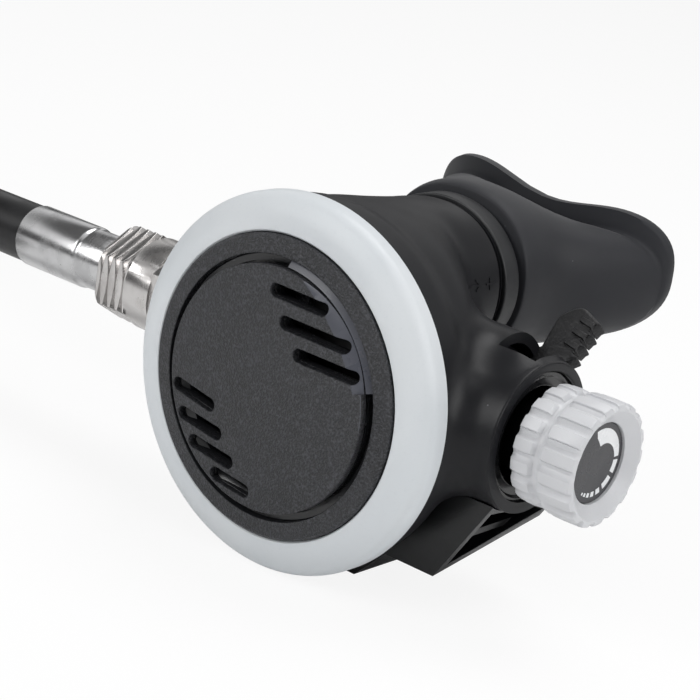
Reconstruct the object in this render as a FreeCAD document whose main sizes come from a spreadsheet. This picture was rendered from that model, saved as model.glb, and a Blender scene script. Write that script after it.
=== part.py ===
import FreeCAD, Part
import math
import os
import Sketcher

# Scuba second-stage regulator with its low-pressure hose, millimetres.
# +X runs along the air barrel to the adjusting knob, +Y to the diver's mouth, +Z up.
# The origin is on the floor under the middle of the air barrel.
# Cover pieces are drawn about the cover's axis, with y = 0 on the front ring's inner edge.
# Barrel pieces are drawn about the barrel's axis, with x = 0 under the middle of the cover.

SIZES = [
    # where the two axes lie
    ("cover_offset", 23.4, "barrel axis to the front ring's inner edge"),
    ("barrel_rise", 0.8, "barrel axis above the cover's axis"),
    # front ring
    ("ring_radius", 35, "front ring, outside"),
    ("ring_inner_radius", "=ring_radius - 7.05", "front ring, inner edge"),
    ("ring_crest_radius", "=ring_radius - 1.7", "where the ring's face turns into its side"),
    ("ring_crest_depth", 1.4, "depth of that line behind the inner edge"),
    ("ring_face_bulge", 16, "bulge radius of the face"),
    ("ring_side_start", 3.9, "depth at which the side becomes straight"),
    ("ring_edge_bulge", 2.6, "rounding between face and side"),
    ("ring_depth", 6.2, "front ring, front to back"),
    ("ring_lip", 2.3, "thickness of the lip over the cover"),
    # case
    ("nose_radius", "=ring_radius - 2.4", "threaded nose that takes the ring"),
    ("nose_bore", "=nose_radius - 1.6", "bore of the nose, round cover and diaphragm"),
    ("thread_gap", 0.1, "radial gap in every screw thread"),
    ("seat_gap", 0.1, "gap between seated faces"),
    ("drum_radius", "=ring_radius - 1", "round part of the case"),
    ("drum_depth", 15.4, "depth of the drum's back"),
    ("drum_edge", 3, "rounding of the drum's back edge"),
    ("ledge_bore", "=nose_bore - 1.8", "bore behind the diaphragm's ledge"),
    ("ledge_depth", 6.8, "depth of the diaphragm's ledge"),
    ("case_wall", 2.4, "wall of the moulded case"),
    ("shoulder_y", -11, "case section inside the drum"),
    ("shoulder_half", "=drum_radius - 1", "its half width"),
    ("shoulder_top", "=ring_radius + drum_radius - 1", "its top"),
    ("shoulder_base", "=ring_radius - drum_radius + 7", "its underside"),
    ("flank_y", -3, "case section over the barrel"),
    ("flank_half", "=drum_radius - 2", "its half width"),
    ("flank_top", "=ring_radius + drum_radius - 1.2", "its top"),
    ("flank_base", "=ring_radius - drum_radius + 9", "its underside"),
    ("saddle_y", 5, "case section where the sides turn in"),
    ("saddle_half", "=drum_radius - 6", "its half width"),
    ("saddle_top", "=ring_radius + drum_radius - 1.9", "its top"),
    ("saddle_base", "=ring_radius - drum_radius + 14.5", "its underside"),
    ("neck_y", 13.5, "case section at the start of the mouth tube"),
    ("neck_half", 19, "its half width"),
    ("neck_top", "=ring_radius + 30.8", "its top"),
    ("neck_base", "=ring_radius - 5.5", "its underside"),
    ("tube_y", 22.6, "rim of the mouth tube"),
    ("tube_half", 16, "its half width"),
    ("tube_top", "=ring_radius + 29.3", "its top"),
    ("tube_base", "=ring_radius + 2.3", "its underside"),
    ("spigot_length", 8.5, "spigot that the mouthpiece grips"),
    ("spigot_step", 2.5, "step from the rim down to the spigot"),
    ("spigot_wall", 2, "wall of the spigot"),
    ("boss_radius", 14, "barrel boss on the knob side"),
    ("boss_end", "=drum_radius + 8", "mouth of that boss"),
    ("boss_wall", 1.3, "wall of that boss"),
    ("boss_inset", 0.6, "walls across the bosses, inside their outer faces"),
    ("bulkhead_x", "=drum_radius - 6", "wall between the boss and the inside"),
    ("bulkhead_wall", 2, "thickness of that wall"),
    ("inlet_boss_radius", 11.5, "boss on the hose side"),
    ("inlet_boss_end", "=drum_radius + 3", "its outer face, from the middle"),
    ("inlet_boss_start", "=drum_radius - 6.4", "its inner face, from the middle"),
    # cover and purge button
    ("cover_rise", 0.9, "cover face in front of the ring's inner edge"),
    ("cover_face_radius", "=ring_inner_radius - 0.65", "textured rim of the cover, outside"),
    ("cover_bevel", 0.55, "bevel round that rim"),
    ("groove_radius", "=cover_face_radius - 3.1", "groove round the button, outside"),
    ("groove_inner_radius", "=groove_radius - 1.6", "inner edge of the groove's floor"),
    ("groove_depth", 1.6, "depth of that groove"),
    ("groove_floor", 1.1, "thickness of its floor"),
    ("flange_depth", 4.9, "back of the flange under the ring"),
    ("flange_gap", 0.12, "cover flange inside the nose"),
    ("cup_radius", "=groove_radius + 1.2", "outside of the cover's inner wall"),
    ("cup_depth", 6.6, "back of the cover's inner wall"),
    ("hub_radius", 4.4, "hub that guides the button"),
    ("hub_thickness", 1.6, "depth of the hub and its arms"),
    ("arm_width", 3.2, "arm of the hub"),
    ("arm_count", 4, "arms of the hub"),
    ("button_radius", "=groove_radius - 2.2", "purge button"),
    ("button_bevel", 0.5, "bevel of its edge"),
    ("button_thickness", 1.9, "thickness of its face"),
    ("button_skirt", 1.4, "wall of its skirt"),
    ("button_flange_radius", "=button_radius + 1.5", "flange that keeps the button in"),
    ("button_flange_thickness", 0.9, "thickness of that flange"),
    ("stem_radius", 2, "stem of the button"),
    ("guide_gap", 0.06, "radial gap of a guided stem"),
    ("button_clearance", 0.15, "button flange behind the groove's floor"),
    ("purge_wire", 0.6, "purge spring, wire"),
    ("purge_turns", 2.25, "purge spring, turns"),
    ("slot_width", 2.5, "slots through the button"),
    ("slot_turn", 3.5, "slope of the upper slots in degrees"),
    ("upper_slot_pitch", "=button_radius * 0.2273", "step between the upper slots"),
    ("upper_slot_height", "=button_radius * 0.782", "height of the first upper slot"),
    ("upper_slot_length", "=button_radius * 0.65", "length of an upper slot"),
    ("upper_slot_reach", "=button_radius - 1.6", "radius where the upper slots end"),
    ("lower_slot_turn", 12, "mean slope of the lower slots in degrees"),
    ("lower_slot_fan", 2.2, "change of slope from slot to slot"),
    ("lower_slot_pitch", "=button_radius * 0.216", "step between the lower slots"),
    ("lower_slot_height", "=button_radius * 0.25", "drop of the first lower slot"),
    ("lower_slot_length", "=button_radius * 0.482", "length of a lower slot"),
    ("lower_slot_reach", "=button_radius - 1.6", "radius where the lower slots end"),
    # diaphragm
    ("bead_inner_radius", "=nose_bore - 2.7", "inner side of the clamped bead"),
    ("membrane_front", 7, "front of the membrane"),
    ("membrane_thickness", 0.8, "thickness of the membrane"),
    ("roll_depth", 1.7, "depth of the rolled fold"),
    ("roll_inner_radius", "=roll_outer_radius - 4.9", "inner side of the fold"),
    ("roll_slope", 1.4, "width of the fold's flanks"),
    ("roll_outer_radius", "=nose_bore - 3.7", "outer side of the fold"),
    ("plate_radius", "=roll_inner_radius - 5.4", "plate behind the membrane"),
    ("plate_thickness", 0.8, "thickness of that plate"),
    ("plate_gap", 0.05, "plate behind the membrane"),
    # air barrel
    ("barrel_radius", 7, "air barrel, outside"),
    ("barrel_bore", 5, "air barrel, inside"),
    ("barrel_inlet_end", "=inlet_boss_end + 13.5", "threaded end, from the middle"),
    ("barrel_inlet_bore", 5.6, "socket for the hose stem"),
    ("barrel_inlet_depth", 8, "depth of that socket"),
    ("barrel_thread_length", 7.3, "thread at the inlet"),
    ("barrel_thread_radius", "=barrel_radius + thread_gap", "radius of that thread"),
    ("barrel_flange_radius", "=barrel_radius + 1.8", "flange inside the case"),
    ("barrel_flange_width", 2.4, "width of that flange"),
    ("barrel_knob_end", "=boss_end + 0.4", "end on the knob side"),
    ("foot_slot_x", 12.1, "middle of the slots for the lever's feet"),
    ("foot_slot_length", 6.4, "length of those slots"),
    ("foot_slot_height", 4.4, "height of those slots"),
    ("outlet_x", -7.5, "middle of the air outlet"),
    ("outlet_radius", 2.8, "air outlet"),
    ("locknut_width", 5.4, "nut outside the case"),
    ("locknut_flats", 20.4, "size across its flats"),
    # valve inside the barrel
    ("slip_gap", 0.06, "radial gap of a sliding or turning fit"),
    ("orifice_back", 26, "inlet side of the orifice, from the middle"),
    ("orifice_front", 15, "shoulder of the orifice, from the middle"),
    ("orifice_crown", 1, "height of its knife edge"),
    ("orifice_crown_radius", 2.4, "radius of its knife edge"),
    ("orifice_bore", 1.7, "bore of the orifice"),
    ("orifice_gap", 0.05, "orifice in the barrel"),
    ("seal_section", 0.75, "wire radius of the small seals"),
    ("seat_radius", 3.4, "rubber valve seat"),
    ("seat_thickness", 1.8, "thickness of the seat"),
    ("seat_start", 13.9, "front of the seat, from the middle"),
    ("poppet_head", 6.2, "length of the poppet's head"),
    ("poppet_rod", 2.4, "radius of the poppet's rod"),
    ("poppet_shoulder_x", 13.1, "shoulder that the lever's feet push"),
    ("poppet_shoulder_width", 1.9, "thickness of that shoulder"),
    ("spring_wire", 0.8, "poppet spring, wire"),
    ("spring_radius", 3.7, "poppet spring, mean radius"),
    ("spring_turns", 5, "poppet spring, turns"),
    ("spring_clearance", 0.3, "gap at each end of a spring"),
    ("pad_x", "=gland_x - 6.8", "pad that loads the spring"),
    ("pad_length", 4, "length of that pad"),
    ("pad_groove", 0.9, "depth of its seal groove"),
    ("gland_x", "=barrel_knob_end - 8", "bush that carries the knob's screw"),
    ("gland_head_radius", 7.6, "head of that bush"),
    ("gland_head", 1.2, "thickness of its head"),
    ("screw_radius", 3, "adjusting screw"),
    ("screw_gap", 0.08, "radial gap of the adjusting screw"),
    # demand lever
    ("lever_sheet", 0.8, "sheet that the lever is stamped from"),
    ("lever_leg_z", 7.5, "inner side of a leg, from the axis"),
    ("lever_pivot_x", 12, "pivot of the lever"),
    ("lever_pivot_y", -6.4, "pivot of the lever"),
    ("lever_leg_width", 2.6, "width of a leg"),
    ("lever_foot_width", 1, "thickness of a foot along the barrel"),
    ("lever_foot_height", 2, "height of a foot"),
    ("lever_foot_gap", 0.3, "foot to the poppet's shoulder"),
    ("lever_foot_reach", 4.1, "how far from the poppet's rod axis a foot ends"),
    ("lever_bridge_gap", 0.9, "bridge in front of the barrel"),
    ("lever_arm_width", 6, "width of the arm"),
    ("lever_tip_x", -1, "middle of the arm's tip"),
    ("lever_tip_radius", 1, "rounding under the plate"),
    ("lever_tip_gap", 0.3, "tip behind the plate"),
    # knob
    ("knob_back", "=boss_end + 2", "back of the knob"),
    ("knob_rear_radius", 10.9, "rear row of grips"),
    ("knob_rear_end", "=knob_back + 4", "end of the rear row"),
    ("knob_waist_radius", 9.9, "waist between the rows"),
    ("knob_front_start", "=knob_back + 5.6", "start of the front row"),
    ("knob_front_radius", 11.35, "front row of grips"),
    ("knob_end", "=knob_back + 13", "front of the knob"),
    ("knob_bevel", 0.5, "bevel of the front row"),
    ("knob_rim_radius", 9.9, "inner edge of the rim"),
    ("knob_cavity_radius", 8.7, "hollow behind the knob"),
    ("knob_cavity_end", "=knob_back + 6.6", "bottom of that hollow"),
    ("knob_hub_radius", 4.8, "hub on the screw"),
    ("knob_hub_start", "=knob_back + 2", "back of the hub"),
    ("grip_count", 17, "grips round the knob"),
    ("grip_notch_width", 1.15, "width of a notch between grips"),
    ("grip_notch_depth", 0.75, "depth of a notch"),
    ("dial_radius", 7.42, "dial disc"),
    ("dial_x", "=knob_end - 2.1", "face of the dial"),
    ("dial_thickness", 1.5, "thickness of the dial"),
    ("dial_gap", 0.08, "dial in its recess"),
    ("knob_screw_head", 3.4, "head radius of the knob's screw"),
    ("knob_screw_height", 1.8, "height of that head"),
    ("knob_screw_radius", 1.2, "radius of that screw"),
    ("knob_screw_length", 7, "its length in the adjusting screw"),
    # venturi lever
    ("collar_start", "=bulkhead_x + 4", "inner face of the venturi collar"),
    ("collar_end", "=collar_start + 8.4", "outer face of the venturi collar"),
    ("collar_radius", 12.5, "outside of the collar"),
    ("collar_step_radius", 11.4, "step round its outer face"),
    ("collar_step", 1.2, "depth of that step"),
    ("tab_angle", 47, "angle of the lever above +Y in degrees"),
    ("tab_start", "=collar_start + 1.3", "inner side of the lever"),
    ("tab_width", 6.6, "width of the lever along the barrel"),
    ("tab_thickness", 3.2, "thickness of the lever"),
    ("tab_tip_radius", 24.4, "tip of the lever from the axis"),
    ("half_turn", 1.0001, "arc radius over half the width, for a tip that is half a turn"),
    ("tab_notch_count", 4, "finger notches in the lever"),
    ("tab_notch_radius", 0.7, "radius of a finger notch"),
    ("tab_notch_pitch", 2.2, "step between finger notches"),
    ("venturi_travel", 55, "turn of the lever in degrees"),
    ("window_margin", 9, "window beyond the lever in degrees"),
    ("sleeve_radius", 8.4, "sleeve of the vane"),
    ("sleeve_start", "=bulkhead_x - 4", "inner end of the sleeve"),
    ("vane_radius", 10.4, "outside of the vane's bar"),
    ("vane_bar_gap", 1.6, "bar outside the barrel"),
    ("vane_angle", 14, "angle of the vane above +Y in degrees"),
    ("vane_half_angle", 12, "half of the bar's angle in degrees"),
    ("vane_start", -12, "far end of the bar"),
    ("vane_flap_length", 11, "length of the flap along the barrel"),
    ("vane_flap_reach", 14, "outer edge of the flap"),
    ("vane_flap_thickness", 1.4, "thickness of the flap"),
    ("vane_gap", 0.5, "vane to the case"),
    # exhaust
    ("port_y", 4.2, "axis of the exhaust port"),
    ("port_base", "=flank_base - 1.4", "lower face of the exhaust port"),
    ("port_radius", 12.6, "outside of the port"),
    ("port_bore", 10.8, "bore of the port"),
    ("port_height", 16, "height of the port's wall"),
    ("valve_seat_thickness", 1.4, "valve seat in the port"),
    ("valve_seat_rim", 1.6, "width of the seat's rim"),
    ("valve_seat_hub", 3.2, "hub of the seat"),
    ("valve_seat_arm", 1.8, "arms of the seat"),
    ("valve_seat_arms", 3, "number of arms"),
    ("valve_radius", 9.7, "exhaust valve"),
    ("valve_thickness", 0.7, "thickness of its disc"),
    ("valve_stem", 1.3, "stem of the valve"),
    ("valve_bulb", 2.1, "bulb that holds the valve"),
    ("tee_wall", 1.8, "wall of the exhaust tee"),
    ("tee_front", -7.6, "front of the tee"),
    ("tee_back", 15.8, "back of the tee"),
    ("tee_tip_height", "=port_base - 2.1", "lowest corner of a wing"),
    ("tee_front_top", "=port_base + 15.2", "upper corner of a wing"),
    ("tee_back_base", "=port_base + 6.8", "underside of a wing at the back"),
    ("tee_back_top", "=port_base + 12", "top of a wing at the back"),
    ("tee_top_half", 40.6, "half width at the upper corners"),
    ("tee_tip_half", 30.4, "half width at the lower corners"),
    ("tee_rib_height", "=port_base + 6.4", "height of the rib in a wing"),
    ("tee_rib", 1.2, "thickness of that rib"),
    ("tee_rib_start", 17, "inner end of the rib, from the middle"),
    ("keel_half", 21, "half width where the keel meets the wings"),
    ("keel_foot_half", 13, "half width of the keel's foot"),
    ("keel_foot_back", 10.5, "back of the foot"),
    ("keel_back_height", "=port_base - 3.1", "height of the keel's back edge"),
    ("tee_gap", 0.3, "tee to the case"),
    ("port_collar", 1.6, "wall of the tee's collar"),
    ("port_collar_height", 3.4, "height of that collar"),
    # mouthpiece
    ("mouth_wall", 2.3, "wall of the mouthpiece"),
    ("mouth_gap", 0.1, "mouthpiece to the mouth tube"),
    ("mouth_neck_step", 0.2, "mouthpiece neck inside the tube's rim"),
    ("mouth_neck_end", 33.5, "end of the neck"),
    ("mouth_throat_y", 41, "section where it widens"),
    ("mouth_throat_half", 18.5, "its half width"),
    ("mouth_throat_height", 12, "its half height"),
    ("mouth_flare_y", 49.5, "section where it meets the shield"),
    ("mouth_flare_half", 25, "its half width"),
    ("mouth_flare_height", 13.4, "its half height"),
    ("shield_front", 44.8, "middle of the lip shield, front"),
    ("shield_thickness", 2.6, "thickness of the shield"),
    ("shield_half_width", 28.4, "half width of the shield"),
    ("shield_sweep", 11, "how far its ends sweep back"),
    ("shield_low", "=ring_radius + 2", "underside of the shield"),
    ("shield_high", "=ring_radius + 32", "top of the shield"),
    ("shield_corner", 12.5, "rounding of its corners"),
    ("air_half_width", 11, "air way at the lips"),
    ("air_half_height", 5, "air way at the lips"),
    ("bite_length", 17, "bite tab beyond the shield"),
    ("bite_width", 9, "width of a bite tab"),
    ("bite_height", 8.5, "height of a bite tab's rib"),
    ("bite_thickness", 2.4, "thickness of a bite tab"),
    ("bite_inner", 12.4, "inner side of a bite tab, from the middle"),
    ("tie_start", 25, "front edge of the mouthpiece tie"),
    ("tie_width", 5, "width of the tie"),
    ("tie_thickness", 0.9, "thickness of the tie"),
    ("tie_gap", 0.1, "tie round the mouthpiece"),
    ("tie_head", 5.4, "size of the tie's head"),
    # hose end at the regulator
    ("nut_end", "=nut_start + 17.8", "far end of the swivel nut, from the middle"),
    ("nut_start", "=inlet_boss_end + 6.2", "near end of the swivel nut"),
    ("nut_flats", 17.5, "size across its flats"),
    ("nut_band_start", "=nut_start + 2.8", "start of the round band"),
    ("nut_band_end", "=nut_start + 9.4", "end of the round band"),
    ("nut_band_radius", 9.5, "radius of the band"),
    ("nut_bevel", 0.8, "bevel at its ends"),
    ("nut_fin_depth", 0.5, "grooves between fins, below the flats"),
    ("nut_fin_count", 4, "number of fins"),
    ("stem_flange", 6.8, "flange of the hose stem"),
    ("stem_flange_x", "=nut_start + 9.5", "outer face of that flange"),
    ("stem_flange_width", 2, "width of that flange"),
    ("stem_tube", 4.5, "stem through the nut"),
    ("stem_bore", 2, "bore of the stem"),
    ("stem_nose_gap", 0.08, "stem in the barrel's socket"),
    ("stem_neck", 5.4, "neck beyond the nut"),
    ("ferrule_start", "=nut_end + 2", "start of the ferrule"),
    ("ferrule_end", "=ferrule_start + 25", "end of the ferrule"),
    ("ferrule_radius", 6.5, "radius of the ferrule"),
    ("ferrule_crimp", 6.1, "radius of the crimped stretch"),
    ("ferrule_step", 0.6, "slope beside the crimped stretch"),
    ("ferrule_slope", 2.6, "slope from the neck to the crimped stretch"),
    ("ferrule_crimp_end", 7.6, "from its start to the end of the crimped stretch"),
    ("hose_radius", 6.2, "hose"),
    # coil and far end
    ("coil_x", -215.65, "middle of the coil"),
    ("coil_y", -10, "middle of the coil"),
    ("coil_radius", 62, "middle of the coil's turns"),
    ("coil_top_z", 19.3, "middle of the hose in the upper turn"),
    ("coil_start", 76.7, "angle where the upper turn begins, in degrees"),
    ("coil_end", 200, "angle where the lower turn ends"),
    ("coil_drop", 262, "angle where the upper turn starts to come down"),
    ("coil_floor", 20, "angle where it has reached the floor"),
    ("far_ferrule_length", 18, "ferrule at the far end"),
    ("far_neck_length", 3, "neck between ferrule and flats"),
    ("far_neck_radius", 5.2, "radius of that neck"),
    ("fitting_flats", 13, "size across the far fitting's flats"),
    ("fitting_hex_width", 8, "width of its flats"),
    ("fitting_face_radius", 6.5, "face that seals on the first stage"),
    ("fitting_face_width", 1.5, "thickness of that face"),
    ("fitting_thread_radius", 4.76, "thread of the far fitting"),
    ("fitting_thread_length", 11, "length of that thread"),
    ("fitting_seal_wire", 1, "wire radius of its seal"),
]


# The hose leaves its ferrule along -X, swings aside and comes down onto the coil.
HOSE_ROUTE = [
    (-109.8, 0, 35.8),
    (-131.2, 6.4, 33.2),
    (-148.8, 18.9, 27.3),
    (-163.3, 35.4, 22.5),
    (-182.2, 45.8, 19.3),
]


class Size:
    """A length or angle together with the sheet formula that it comes from."""

    def __init__(self, value, formula):
        self.value = float(value)
        self.formula = formula

    def __add__(self, other):
        other = as_size(other)
        return Size(self.value + other.value, f"({self.formula} + {other.formula})")

    def __sub__(self, other):
        other = as_size(other)
        return Size(self.value - other.value, f"({self.formula} - {other.formula})")

    def __mul__(self, other):
        other = as_size(other)
        return Size(self.value * other.value, f"({self.formula} * {other.formula})")

    def __truediv__(self, other):
        other = as_size(other)
        return Size(self.value / other.value, f"({self.formula} / {other.formula})")

    def __neg__(self):
        return Size(-self.value, f"(-1 * {self.formula})")

    def __radd__(self, other):
        return as_size(other) + self

    def __rsub__(self, other):
        return as_size(other) - self


def as_size(number):
    return number if isinstance(number, Size) else Size(number, repr(float(number)))


def cosine(angle):
    return Size(math.cos(math.radians(angle.value)), f"cos({angle.formula} * 1 deg)")


def sine(angle):
    return Size(math.sin(math.radians(angle.value)), f"sin({angle.formula} * 1 deg)")


def root(square):
    return Size(math.sqrt(square.value), f"sqrt({square.formula})")


class Sheet:
    """The driving dimensions, each an attribute of this object and a cell of the spreadsheet."""

    def __init__(self, doc):
        cells = doc.addObject("Spreadsheet::Sheet", "sizes")
        for row, (name, _, meaning) in enumerate(SIZES, start=1):
            cells.set(f"A{row}", name)
            cells.set(f"C{row}", meaning)
            cells.setAlias(f"B{row}", name)
        for row, (_, value, _) in enumerate(SIZES, start=1):
            cells.set(f"B{row}", str(value))
        doc.recompute()
        for name, _, _ in SIZES:
            setattr(self, name, Size(cells.get(name), f"sizes.{name}"))
        self.barrel_z = self.ring_radius + self.barrel_rise


doc = FreeCAD.newDocument("regulator")
s = Sheet(doc)
ZERO = as_size(0)
PLANES = {"XY": ("XY_Plane", 1), "XZ": ("XZ_Plane", -1), "YZ": ("YZ_Plane", 1)}
AXES = {"X": ("XZ", "H_Axis"), "Y": ("XY", "V_Axis"), "Z": ("XZ", "V_Axis")}
pieces = []


# ---------------------------------------------------------------- helpers


def bind(item, name, size):
    item.setExpression(name, size.formula)


def place(item, x=ZERO, y=ZERO, z=ZERO):
    for name, size in (("x", x), ("y", y), ("z", z)):
        bind(item, f"Placement.Base.{name}", size)


def new_body(name):
    body = doc.addObject("PartDesign::Body", name)
    body.Label = name
    pieces.append(body)
    return body


def cover_body(name):
    body = new_body(name)
    place(body, y=-s.cover_offset, z=s.ring_radius)
    return body


def barrel_body(name):
    body = new_body(name)
    place(body, z=s.barrel_z)
    return body


def new_sketch(body, plane, offset=ZERO):
    role, sense = PLANES[plane]
    sketch = body.newObject("Sketcher::SketchObject", f"{body.Name}_sketch")
    origin = [item for item in body.Origin.OriginFeatures if item.Role == role][0]
    sketch.AttachmentSupport = [(origin, "")]
    sketch.MapMode = "FlatFace"
    bind(sketch, "AttachmentOffset.Base.z", offset * sense)
    return sketch


def fix(sketch, kind, geometry, size, *anchor):
    number = sketch.addConstraint(Sketcher.Constraint(kind, *anchor, *geometry, size.value))
    sketch.setExpression(f"Constraints[{number}]", size.formula)


def fix_point(sketch, geometry, x, y):
    """Hold a point at its distances from the sketch's axes."""
    if x is ZERO:
        sketch.addConstraint(Sketcher.Constraint("PointOnObject", *geometry, -2))
    else:
        fix(sketch, "DistanceX", geometry, x, -1, 1)
    if y is ZERO:
        sketch.addConstraint(Sketcher.Constraint("PointOnObject", *geometry, -1))
    else:
        fix(sketch, "DistanceY", geometry, y, -1, 1)


def arc_between(a, b, radius):
    """The short arc from a to b, with its centre on the left of the way if radius is positive."""
    chord = b - a
    rise = math.sqrt(radius * radius - chord.Length * chord.Length / 4)
    left = FreeCAD.Vector(-chord.y, chord.x, 0).normalize()
    centre = (a + b) * 0.5 + left * math.copysign(rise, radius)
    circle = Part.Circle(centre, FreeCAD.Vector(0, 0, 1), abs(radius))
    ends = [math.atan2(p.y - centre.y, p.x - centre.x) for p in (a, b)]
    if radius < 0:
        ends.reverse()
    return Part.ArcOfCircle(circle, ends[0], ends[1])


def outline(sketch, points):
    """A closed loop; a third entry in a point is the radius of the arc that leaves it."""
    corners = [tuple(as_size(v) if v != 0 else ZERO for v in p[:2]) for p in points]
    spots = [FreeCAD.Vector(x.value, y.value, 0) for x, y in corners]
    sides = []
    for i, point in enumerate(points):
        a = spots[i]
        b = spots[(i + 1) % len(points)]
        if len(point) == 3:
            bend = as_size(point[2])
            side = sketch.addGeometry(arc_between(a, b, bend.value), False)
            sides.append((side, 1, 2) if bend.value > 0 else (side, 2, 1))
            fix(sketch, "Radius", (side,), bend if bend.value > 0 else -bend)
        else:
            sides.append((sketch.addGeometry(Part.LineSegment(a, b), False), 1, 2))
    for i, (side, start, _) in enumerate(sides):
        before, _, end = sides[i - 1]
        sketch.addConstraint(Sketcher.Constraint("Coincident", before, end, side, start))
        fix_point(sketch, (side, start), *corners[i])


def circle(sketch, x, y, radius):
    x, y = (as_size(v) if v != 0 else ZERO for v in (x, y))
    centre = FreeCAD.Vector(x.value, y.value, 0)
    normal = FreeCAD.Vector(0, 0, 1)
    ring = sketch.addGeometry(Part.Circle(centre, normal, radius.value), False)
    fix_point(sketch, (ring, 3), x, y)
    fix(sketch, "Radius", (ring,), radius)


def ellipse(sketch, y, half_width, half_height):
    """An ellipse on the sketch's upright axis, wider than it is high."""
    centre = FreeCAD.Vector(0, y.value, 0)
    wide = centre + FreeCAD.Vector(half_width.value, 0, 0)
    high = centre + FreeCAD.Vector(0, half_height.value, 0)
    ring = sketch.addGeometry(Part.Ellipse(wide, high, centre), False)
    sketch.exposeInternalGeometry(ring)
    sketch.addConstraint(Sketcher.Constraint("Horizontal", ring + 1))
    fix_point(sketch, (ring, 3), ZERO, y)
    fix(sketch, "Distance", (ring + 1,), half_width * 2)
    fix(sketch, "Distance", (ring + 2,), half_height * 2)


def slab(body, plane, start, length, draw, cut=False):
    """Pad or cut what draw() sketches, from start over length along the plane's own axis."""
    sketch = new_sketch(body, plane, start)
    draw(sketch)
    kind = "PartDesign::Pocket" if cut else "PartDesign::Pad"
    feature = body.newObject(kind, f"{body.Name}_{'pocket' if cut else 'pad'}")
    feature.Profile = sketch
    bind(feature, "Length", length)
    feature.Reversed = (PLANES[plane][1] < 0) != cut
    return feature


def turn(body, axis, points, cut=False):
    """Revolve a profile: (x, r) about X, (r, y) about Y, (r, z) about Z."""
    plane, line = AXES[axis]
    sketch = new_sketch(body, plane)
    outline(sketch, points)
    kind = "PartDesign::Groove" if cut else "PartDesign::Revolution"
    feature = body.newObject(kind, f"{body.Name}_{'groove' if cut else 'turn'}")
    feature.Profile = sketch
    feature.ReferenceAxis = (sketch, [line])
    feature.Angle = 360
    return feature


def around(body, feature, axis, count):
    """Repeat a feature evenly round one of the body's own axes."""
    pattern = body.newObject("PartDesign::PolarPattern", f"{body.Name}_pattern")
    pattern.Originals = [feature]
    line = [item for item in body.Origin.OriginFeatures if item.Role == f"{axis}_Axis"][0]
    pattern.Axis = (line, [""])
    pattern.Angle = 360
    bind(pattern, "Occurrences", count)
    body.Tip = pattern
    return pattern


def outline_draw(points):
    return lambda sketch: outline(sketch, points)


def box_draw(x0, x1, y0, y1):
    return outline_draw([(x0, y0), (x1, y0), (x1, y1), (x0, y1)])


def circle_draw(x, y, radius):
    return lambda sketch: circle(sketch, x, y, radius)


def hexagon_draw(flats):
    """A hexagon round the sketch's origin with two corners on its upright axis."""
    side = flats / math.sqrt(3)
    half = flats / 2
    low = -half
    points = [(half, side / 2), (ZERO, side), (low, side / 2)]
    points += [(low, -side / 2), (ZERO, -side), (half, -side / 2)]
    return outline_draw(points)


def sector_draw(centre_y, inner, outer, start, end):
    """A ring sector round (0, centre_y), its angles in degrees."""

    def corner(radius, angle):
        return radius * cosine(angle), centre_y + radius * sine(angle)

    points = [
        (*corner(outer, start), outer),
        corner(outer, end),
        (*corner(inner, end), -inner),
        corner(inner, start),
    ]
    return outline_draw(points)


def spring_piece(name, radius, wire, length, turns, axis_turn, x=ZERO, y=ZERO, z=ZERO):
    """A coil spring whose wire's middle runs length along its axis."""
    helix = doc.addObject("Part::Helix", f"{name}_helix")
    bind(helix, "Radius", radius)
    bind(helix, "Height", length)
    bind(helix, "Pitch", length / turns)
    section = doc.addObject("Part::RegularPolygon", f"{name}_section")
    section.Polygon = 6
    bind(section, "Circumradius", wire / 2)
    bind(section, "Placement.Base.x", radius)
    section.Placement.Rotation = FreeCAD.Rotation(FreeCAD.Vector(1, 0, 0), 90)
    spring = doc.addObject("Part::Sweep", name)
    spring.Label = name
    spring.Sections = [section]
    spring.Spine = (helix, ["Edge1"])
    spring.Solid = True
    spring.Frenet = True
    spring.Placement.Rotation = axis_turn
    place(spring, x, y, z)
    pieces.append(spring)
    return spring


# ---------------------------------------------------------------- cover side


def front_ring():
    bore = s.nose_radius + s.thread_gap
    turn(
        cover_body("front_ring"),
        "Y",
        [
            (s.ring_inner_radius, 0, s.ring_face_bulge),
            (s.ring_crest_radius, s.ring_crest_depth, s.ring_edge_bulge),
            (s.ring_radius, s.ring_side_start),
            (s.ring_radius, s.ring_depth),
            (bore, s.ring_depth),
            (bore, s.ring_lip),
            (s.ring_inner_radius, s.ring_lip),
        ],
    )


def purge_cover():
    body = cover_body("purge_cover")
    face = -s.cover_rise
    floor = face + s.groove_depth
    shelf = floor + s.groove_floor
    side = s.ring_inner_radius - s.flange_gap
    flange = s.nose_bore - s.flange_gap
    under_lip = s.ring_lip + s.seat_gap
    turn(
        body,
        "Y",
        [
            (s.groove_inner_radius, floor),
            (s.groove_radius, floor),
            (s.groove_radius, face),
            (s.cover_face_radius, face),
            (side, face + s.cover_bevel),
            (side, under_lip),
            (flange, under_lip),
            (flange, s.flange_depth),
            (s.cup_radius, s.flange_depth),
            (s.cup_radius, s.cup_depth),
            (s.groove_radius, s.cup_depth),
            (s.groove_radius, shelf),
            (s.groove_inner_radius, shelf),
        ],
    )
    start = s.cup_depth - s.hub_thickness
    reach = (s.groove_radius + s.cup_radius) / 2
    half = s.arm_width / 2
    arm = slab(body, "XZ", start, s.hub_thickness, box_draw(s.stem_radius, reach, -half, half))
    around(body, arm, "Y", s.arm_count)
    slab(body, "XZ", start, s.hub_thickness, circle_draw(0, 0, s.hub_radius))
    bore = circle_draw(0, 0, s.stem_radius + s.guide_gap)
    slab(body, "XZ", start, s.hub_thickness, bore, cut=True)


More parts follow.
